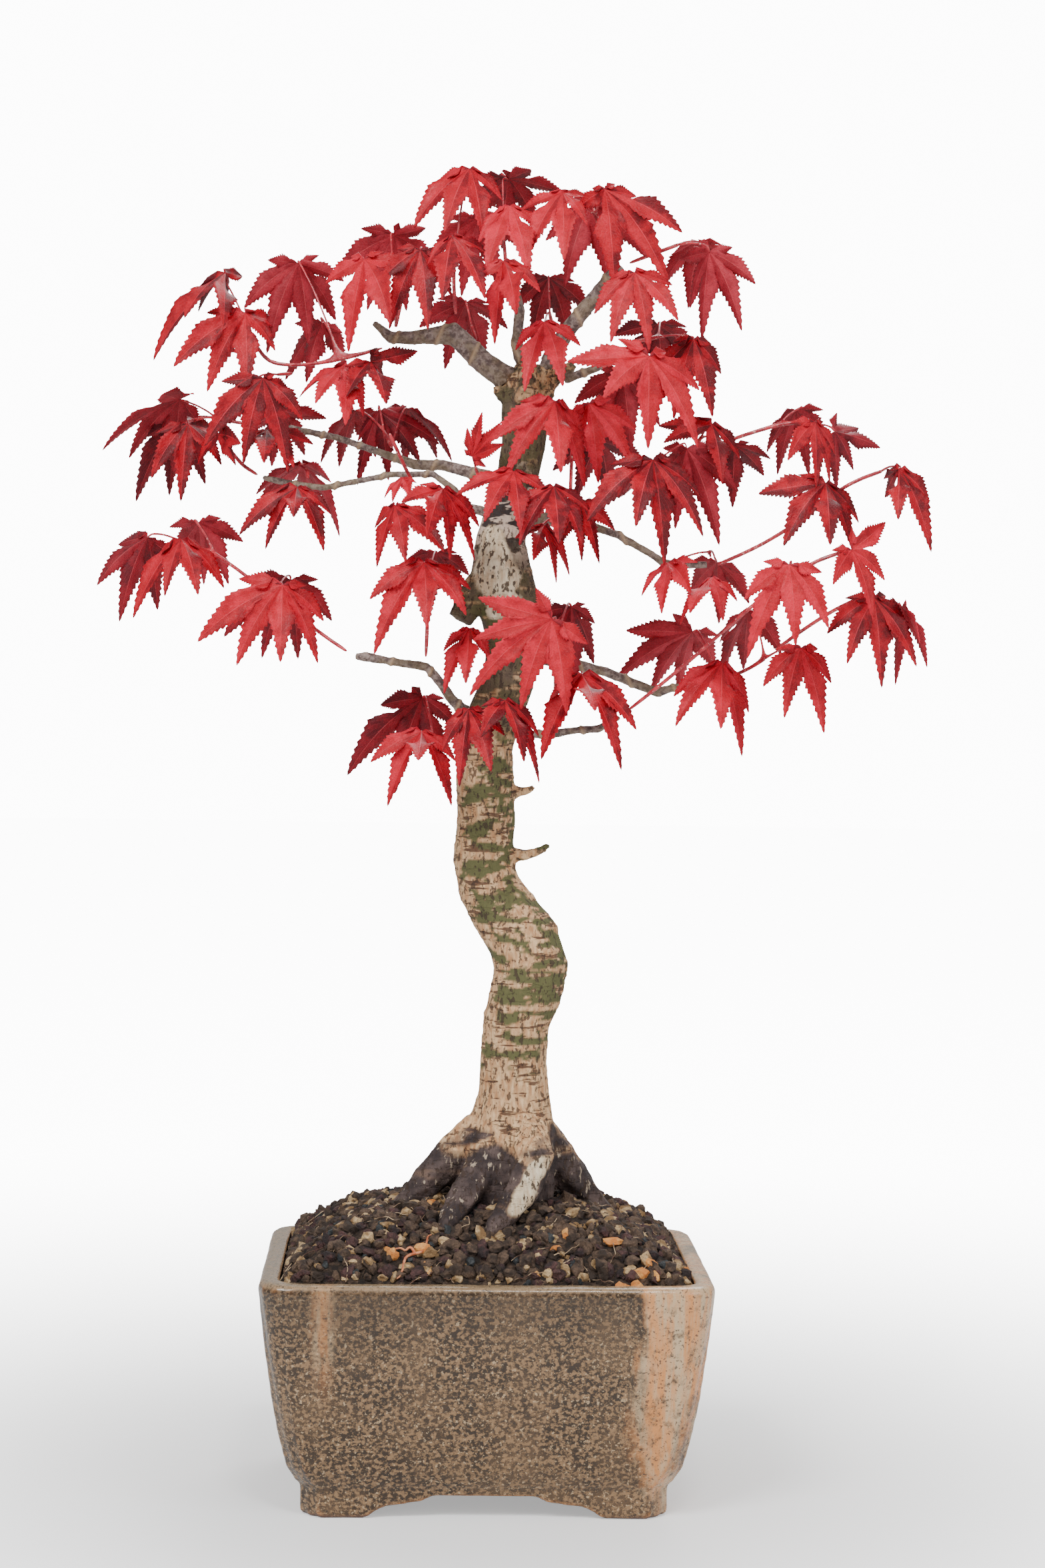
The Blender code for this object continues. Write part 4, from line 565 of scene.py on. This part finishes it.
for name in WOOD_NODES:
    twig_bm = remeshed(frame_copy(name), TWIG_VOXEL, 3)
    ring_layer = twig_bm.verts.layers.float_color.new("bud_rings")
    phase = (sum(map(ord, name)) % 17) / 17 * 0.016
    for vert in twig_bm.verts:
        along = (abs(vert.co.x - 0.004) + 0.45 * vert.co.z + phase) % RING_SPACING
        swell = math.exp(-((along - 0.008) / RING_WIDTH) ** 2)
        vert[ring_layer] = (swell, swell, swell, 1)
        vert.co += vert.normal * (swell * 0.00055 + cloud(vert.co, 300, 1) * 0.00018)
        near, normal, index, reach = trunk_tree.find_nearest(vert.co)
        if near and reach < 0.0024:
            vert.co = near - normal * 0.0004
    place_piece(name + "_wood", twig_bm, "twig", [name], twig_bark)


# ---- leaves and red shoots ----------------------------------------------------------------------
# Palmate leaves of a red maple, one sheet each: toothed lobes that run out to long points, folded
# along their midribs, hung from thin red stalks on this year's red shoots. Light and shade are painted
# into the colour: lit sides are rose and crimson, shaded ones deep wine red, one half of each lobe is
# painted lighter as if lit, and the undersides are duller.
BLADE_ROWS = 30              # rows of the grid along a lobe, two to a tooth
BLADE_COLUMNS = 6
BLADE_THICKNESS = 0.00026
FOLD = 0.30                  # depth of the fold along a midrib, as a share of the half width
TOOTH = 0.00075
BASAL_LENGTH = 0.46          # the two small lobes by the stalk, as a share of their neighbour
LOBE_ROOT = 0.30             # share of a lobe that is joined to its neighbours
LOBE_WIDEST = 0.50           # share of a lobe's length at which it is widest
ROOT_OVERLAP = 1.15          # how far a lobe's root laps over its neighbour's
SINUS_LIFT = 0.10            # how far the joined rims rise, as a share of their distance from the hub
BASAL_TURN = math.radians(47)
SHOOT_NODES = sorted(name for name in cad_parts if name.startswith("shoot_"))


def linked(one, other):
    """Whether an edge joins the two corners."""
    return any(edge.other_vert(one) == other for edge in one.link_edges)


def find_lobes(bm):
    """Each lobe of the frame's plain blades: its tip, two ribs, and a shoulder and sinus on each side."""
    lobes = []
    for tip in bm.verts:
        around = [edge.other_vert(tip) for edge in tip.link_edges]
        if len(around) != 4:
            continue
        shoulders = [vert for vert in around if len(vert.link_edges) == 4]
        ribs = [vert for vert in around if vert not in shoulders]
        if len(shoulders) != 2 or any(not linked(a, b) for a in shoulders for b in ribs):
            continue
        sinuses = []
        for shoulder in shoulders:
            others = [edge.other_vert(shoulder) for edge in shoulder.link_edges]
            sinuses += [vert for vert in others if vert != tip and vert not in ribs]
        if len(sinuses) == 2 and (tip.co - ribs[0].co).length > 0.004:
            lobes.append({"tip": tip, "ribs": ribs, "shoulders": shoulders, "sinuses": sinuses})
    return lobes


def find_leaves(bm):
    """The leaves: lobes chained by the sinus they share, with the leaf's hub and its upward normal."""
    lobes = find_lobes(bm)
    owners = {}
    for lobe in lobes:
        for sinus in lobe["sinuses"]:
            owners.setdefault(sinus, []).append(lobe)
    leaves, used = [], set()
    for first in sorted(lobes, key=lambda lobe: min(len(owners[sinus]) for sinus in lobe["sinuses"])):
        if id(first) in used:
            continue
        chain, lobe = [], first
        free = [len(owners[sinus]) == 1 for sinus in first["sinuses"]]
        low = first["sinuses"][free.index(True)] if any(free) else first["sinuses"][0]
        while lobe and id(lobe) not in used:
            used.add(id(lobe))
            if lobe["sinuses"][0] != low:
                lobe["sinuses"].reverse()
                lobe["shoulders"].reverse()
            chain.append(lobe)
            low = lobe["sinuses"][1]
            lobe = next((other for other in owners[low] if id(other) not in used), None)
        known = {vert for lobe in chain
                 for vert in [lobe["tip"], *lobe["ribs"], *lobe["shoulders"], *lobe["sinuses"]]}
        votes = {}
        for lobe in chain:
            for rib in lobe["ribs"]:
                for edge in rib.link_edges:
                    centre = edge.other_vert(rib)
                    if centre not in known:
                        votes[centre] = votes.get(centre, 0) + 1
        if not votes:
            continue
        wanted = 2 * len(chain) + 1
        hub = max(votes, key=lambda vert: (votes[vert], -abs(len(vert.link_edges) - wanted), vert.co.z))
        up = sum((face.normal * face.calc_area() for face in hub.link_faces), Vector()).normalized()
        hubs = [vert for vert in votes if votes[vert] == len(chain)]
        leaves.append({"lobes": chain, "hub": hub.co - up * 0.0006, "up": up,
                       "verts": known | set(hubs) | {hub}})
    return leaves


def lobe_facts(hub, rib, tip, low, high, low_sinus, high_sinus):
    """The points that one lobe is grown from."""
    return {"hub": hub, "rib": rib, "tip": tip, "sides": (low, high), "sinuses": (low_sinus, high_sinus)}


def with_basal(lobes, hub, up):
    """Adds the small backward lobes at both ends of a leaf."""
    made = []
    for end, sign in ((0, 1), (-1, -1)):
        lobe = lobes[end]
        reach = lobe["tip"] - hub
        across = up.cross(reach).normalized() * sign
        inner = (lobe["sides"][1] - lobe["sides"][0]).dot(across)
        turn = Matrix.Rotation(BASAL_TURN * (-1 if inner * sign > 0 else 1) * sign, 3, up)
        way = (turn @ reach) * BASAL_LENGTH
        half = up.cross(way).normalized() * way.length * 0.17
        if half.dot(lobe["sides"][1] - lobe["sides"][0]) < 0:
            half = -half
        rib, tip = hub + way * 0.5, hub + way - up * way.length * 0.15
        near = lobe["sinuses"][0 if end == 0 else 1]
        far = hub + way * 0.16 + (half if end else -half) * 0.6
        sinuses = (far, near) if end == 0 else (near, far)
        made.append(lobe_facts(hub, rib, tip, rib - half, rib + half, *sinuses))
    return [made[0], *lobes, made[1]]


def grow_lobe(bm, lobe, up, layer_uv, layer_tone, tone, dice):
    """One toothed lobe, as a grid bent from its hub along its midrib to its tip."""
    hub, tip = lobe["hub"], lobe["tip"]
    bend = lobe["rib"] * 2 - (hub + tip) / 2
    low, high = lobe["sides"]
    sinuses = lobe["sinuses"]
    across = (high - low).normalized()
    wide = (high - low).length / 2
    if across.cross(tip - hub).dot(up) < 0:
        low, high, across, sinuses = high, low, -across, sinuses[::-1]
    length = (tip - hub).length
    full = wide * 1.08 * dice.uniform(0.95, 1.08)

    def midrib(v):
        return hub * (1 - v) ** 2 + bend * (2 * v * (1 - v)) + tip * v * v

    def width_at(v, first, widest):
        if v < LOBE_WIDEST:
            base = first * ROOT_OVERLAP
            share = between(v, LOBE_ROOT, LOBE_WIDEST)
            return max(min(base * v / LOBE_ROOT, widest), base + (widest - base) * share ** 0.6)
        s = (v - LOBE_WIDEST) / (1 - LOBE_WIDEST)
        return widest * (1 - s) ** 0.85 * (1 - 0.62 * s * (1 - s))

    grid = bmesh.ops.create_grid(bm, x_segments=BLADE_COLUMNS, y_segments=BLADE_ROWS, size=1.0)["verts"]
    made = set(grid)
    for face in {face for vert in grid for face in vert.link_faces}:
        for loop in face.loops:
            loop[layer_uv].uv = ((loop.vert.co.x + 1) / 2, (loop.vert.co.y + 1) / 2)
    for vert in made:
        u, v = vert.co.x, (vert.co.y + 1) / 2
        row = round(v * BLADE_ROWS)
        centre = midrib(v)
        ahead = (midrib(min(1, v + 0.03)) - midrib(max(0, v - 0.03))).normalized()
        side = (across - ahead * across.dot(ahead)).normalized()
        normal = side.cross(ahead)
        sign = 1 if u > 0 else -1
        sinus = sinuses[1 if u > 0 else 0]
        rim_lift = up * ((sinus - hub).length * SINUS_LIFT)
        if v <= LOBE_ROOT:
            share = v / LOBE_ROOT
            rim = hub.lerp(sinus, share) + rim_lift * share
        else:
            offset = sinus + rim_lift - midrib(LOBE_ROOT)
            first = abs(offset.dot(side))
            reach = width_at(v, first, max(full, first * 0.8))
            lift = offset.dot(normal) * (1 - between(v, LOBE_ROOT, 0.62))
            lift += reach * FOLD * between(v, LOBE_ROOT, 0.45)
            rim = centre + side * sign * reach + normal * lift
            tooth = TOOTH * min(1.0, reach / 0.0022) * between(v, LOBE_ROOT, 0.40) * (row % 2)
            rim += (side * sign * tooth + ahead * tooth * 0.9) if abs(u) > 0.99 else Vector()
        ripple = math.sin(abs(u) * math.pi) * 0.10 * (rim - centre).length
        vert.co = centre.lerp(rim, abs(u)) - normal * ripple
        vert[layer_tone] = (tone, dice.random(), length / 0.05, 1)


def build_shoot(name, dice):
    """The blades and the red stems of one shoot of the frame."""
    bm = frame_copy(name)
    bm.normal_update()
    leaves = find_leaves(bm)
    blades = bmesh.new()
    layer_uv = blades.loops.layers.uv.new("blade")
    layer_tone = blades.verts.layers.float_color.new("leaf_tone")
    for leaf in leaves:
        hub, up = leaf["hub"], leaf["up"]
        lobes = []
        for lobe in leaf["lobes"]:
            rib = (lobe["ribs"][0].co + lobe["ribs"][1].co) / 2
            spots = [vert.co.copy() for vert in lobe["shoulders"] + lobe["sinuses"]]
            lobes.append(lobe_facts(hub, rib, lobe["tip"].co.copy(), *spots))
        tone = dice.random()
        for lobe in with_basal(lobes, hub, up):
            grow_lobe(blades, lobe, up, layer_uv, layer_tone, tone, dice)
    bmesh.ops.remove_doubles(blades, verts=blades.verts, dist=2e-5)
    blade_verts = set().union(*(leaf["verts"] for leaf in leaves)) if leaves else set()
    gone = {face for vert in blade_verts for face in vert.link_faces}
    bmesh.ops.delete(bm, geom=list(gone), context="FACES")
    rims = [edge for edge in bm.edges if edge.is_boundary]
    grown = bmesh.ops.extrude_edge_only(bm, edges=rims)["geom"]
    for vert in (item for item in grown if isinstance(item, bmesh.types.BMVert)):
        near = min(leaves, key=lambda leaf: (leaf["hub"] - vert.co).length)
        vert.co = near["hub"] - near["up"] * 0.0001
    bmesh.ops.remove_doubles(bm, verts=bm.verts, dist=2e-5)
    return blades, bm


def leaf_material(name, lit, mid, deep, rib, roughness):
    """Leaf skin: half of each lobe painted lighter as if lit, veins and midrib drawn by the blade's own
    coordinates.
    """
    made, tree, shader, place = new_material(name, Roughness=roughness, Subsurface_Weight=0.12,
                                             Subsurface_Scale=0.002, Coat_Weight=0.04, Coat_Roughness=0.35,
                                             Specular_IOR_Level=0.28)
    shader.inputs["Subsurface Radius"].default_value = (1.0, 0.15, 0.15)
    across = add_node(tree, "ShaderNodeUVMap", uv_map="blade").outputs["UV"]
    u, v = add_node(tree, "ShaderNodeSeparateXYZ", {0: across}).outputs[:2]
    tones = add_node(tree, "ShaderNodeAttribute", attribute_name="leaf_tone").outputs["Color"]
    tone = add_node(tree, "ShaderNodeSeparateColor", {0: tones}).outputs[0]
    off = sums(tree, "ABSOLUTE", sums(tree, "SUBTRACT", u, 0.5))
    midrib = rise(tree, off, 0.030, 0.008)
    slant = sums(tree, "SUBTRACT", sums(tree, "MULTIPLY", v, 13.0), sums(tree, "MULTIPLY", off, 7.0))
    slant = sums(tree, "SUBTRACT", sums(tree, "FRACT", slant), 0.5)
    vein = rise(tree, sums(tree, "ABSOLUTE", slant), 0.09, 0.0)
    patches = flecks(tree, place, 170, 0.36, 0.66, 4)
    fine = flecks(tree, place, 1300, 0.40, 0.66, 3)
    # Painted light: one half of each lobe is painted lighter, as if lit, the other darker, as if shaded.
    half = rise(tree, u, 0.40, 0.60)
    share = sums(tree, "MULTIPLY_ADD", half, 0.28, sums(tree, "MULTIPLY", patches, 0.34))
    share = sums(tree, "ADD", share, sums(tree, "MULTIPLY_ADD", tone, 0.55, -0.10))
    colour = mixed(tree, rise(tree, share, 0.0, 0.50), deep, mid)
    colour = mixed(tree, rise(tree, share, 0.45, 1.0), colour, lit)
    colour = mixed(tree, sums(tree, "MULTIPLY", fine, 0.18), colour, deep)
    colour = mixed(tree, sums(tree, "MULTIPLY", vein, 0.22), colour, rib)
    colour = mixed(tree, sums(tree, "MULTIPLY", midrib, 0.75), colour, rib)
    tree.links.new(colour, shader.inputs["Base Color"])
    height = sums(tree, "MULTIPLY_ADD", vein, -0.5, sums(tree, "MULTIPLY_ADD", midrib, 0.8, fine))
    relief(tree, shader, height, 0.00016, 0.6)
    return made


leaf_top = leaf_material("leaf top", (0.80, 0.016, 0.045, 1), (0.50, 0.0025, 0.014, 1),
                         (0.115, 0.001, 0.005, 1), (0.74, 0.045, 0.070, 1), 0.42)
leaf_under = leaf_material("leaf underside", (0.46, 0.026, 0.045, 1), (0.27, 0.006, 0.016, 1),
                           (0.095, 0.004, 0.010, 1), (0.52, 0.060, 0.075, 1), 0.55)
red_stem, tree, shader, place = new_material("red shoot skin", Roughness=0.34, Coat_Weight=0.25)
colour = mixed(tree, flecks(tree, place, 240, 0.38, 0.64, 3), (0.36, 0.008, 0.022, 1),
               (0.66, 0.035, 0.052, 1))
tree.links.new(mixed(tree, flecks(tree, place, 1100, 0.60, 0.68), colour, (0.80, 0.38, 0.33, 1)),
               shader.inputs["Base Color"])
relief(tree, shader, flecks(tree, place, 700, 0.4, 0.6), 0.0001, 0.4)

leaf_dice = random.Random(23)
for name in SHOOT_NODES:
    blades, stems = build_shoot(name, leaf_dice)
    blade_piece = place_piece(name.replace("shoot_", "leaves_"), blades, "leaf_red", [name],
                              leaf_top, leaf_under)
    skin = blade_piece.modifiers.new("thickness", "SOLIDIFY")
    skin.thickness, skin.offset, skin.material_offset = BLADE_THICKNESS, 0.0, 1
    stem_piece = place_piece(name.replace("shoot_", "stems_"), stems, "leaf_red", [name], red_stem)
    rounding = stem_piece.modifiers.new("rounding", "SUBSURF")
    rounding.levels = rounding.render_levels = 2


# ---- floor, light and camera --------------------------------------------------------------------
# A plain pale sheet under soft white studio light, seen from the front at pot height.
EYE = Vector((-0.0292, -1.1536, 0.3051))
YAW, PITCH, ROLL = math.radians(-2.052), math.radians(-1.672), math.radians(0.827)
LENS = 68.76
FLOOR_GLOW, FLOOR_GLOW_FAR = 0.45, 11.0  # what the floor adds for the camera near the pot and far from it
AIR_LIGHT, AIR_GLOW = 0.50, 12.0         # how bright the studio is, and what it adds for the camera

backdrop_bm = bmesh.new()
bmesh.ops.create_grid(backdrop_bm, x_segments=2, y_segments=2, size=6.0)
backdrop_mesh = bpy.data.meshes.new("floor")
backdrop_bm.to_mesh(backdrop_mesh)
backdrop_bm.free()
floor = bpy.data.objects.new("floor", backdrop_mesh)
bpy.context.scene.collection.objects.link(floor)
floor_white, tree, shader, place = new_material("floor white", Roughness=0.9)
shader.inputs["Base Color"].default_value = (0.86, 0.86, 0.86, 1)
seen = tree.nodes.new("ShaderNodeLightPath").outputs["Is Camera Ray"]
shader.inputs["Emission Color"].default_value = (1, 1, 1, 1)
distance = add_node(tree, "ShaderNodeVectorMath", {0: place}, operation="LENGTH").outputs["Value"]
# Painted shade: the floor's camera-only glow is weakest near the pot, so the floor is painted darker round it.
glow = sums(tree, "MULTIPLY_ADD", rise(tree, distance, 0.07, 0.9), FLOOR_GLOW_FAR, FLOOR_GLOW)
tree.links.new(sums(tree, "MULTIPLY", seen, glow), shader.inputs["Emission Strength"])
floor.data.materials.append(floor_white)

world = bpy.data.worlds.new("studio")
world.use_nodes = True
studio_air = world.node_tree.nodes["Background"]
studio_air.inputs["Color"].default_value = (1.0, 1.0, 1.0, 1)
seen = world.node_tree.nodes.new("ShaderNodeLightPath").outputs["Is Camera Ray"]
world.node_tree.links.new(sums(world.node_tree, "MULTIPLY_ADD", seen, AIR_GLOW, AIR_LIGHT),
                          studio_air.inputs["Strength"])
bpy.context.scene.world = world


def soft_light(name, place, aim, size, watts):
    """A round softbox at place, turned to aim."""
    data = bpy.data.lights.new(name, "AREA")
    data.shape, data.size, data.energy = "DISK", size, watts
    lamp = bpy.data.objects.new(name, data)
    lamp.location = place
    lamp.rotation_euler = (Vector(aim) - Vector(place)).to_track_quat("-Z", "Y").to_euler()
    bpy.context.scene.collection.objects.link(lamp)


soft_light("key", (-0.9, -1.3, 1.7), (0, 0, 0.25), 0.8, 30)
soft_light("fill", (1.3, -1.0, 0.9), (0, 0, 0.25), 1.0, 9)
soft_light("lip glint", (0.1, -0.75, 1.15), (0, 0, 0.09), 0.22, 4)
soft_light("back", (0.4, 1.4, 1.5), (0, 0, 0.35), 1.0, 14)

camera_data = bpy.data.cameras.new("camera")
camera_data.lens = LENS
camera = bpy.data.objects.new("camera", camera_data)
bpy.context.scene.collection.objects.link(camera)
turned = Matrix.Rotation(YAW, 4, "Z") @ Matrix.Rotation(math.radians(90) + PITCH, 4, "X")
camera.matrix_world = Matrix.Translation(EYE) @ turned @ Matrix.Rotation(ROLL, 4, "Z")
bpy.context.scene.camera = camera
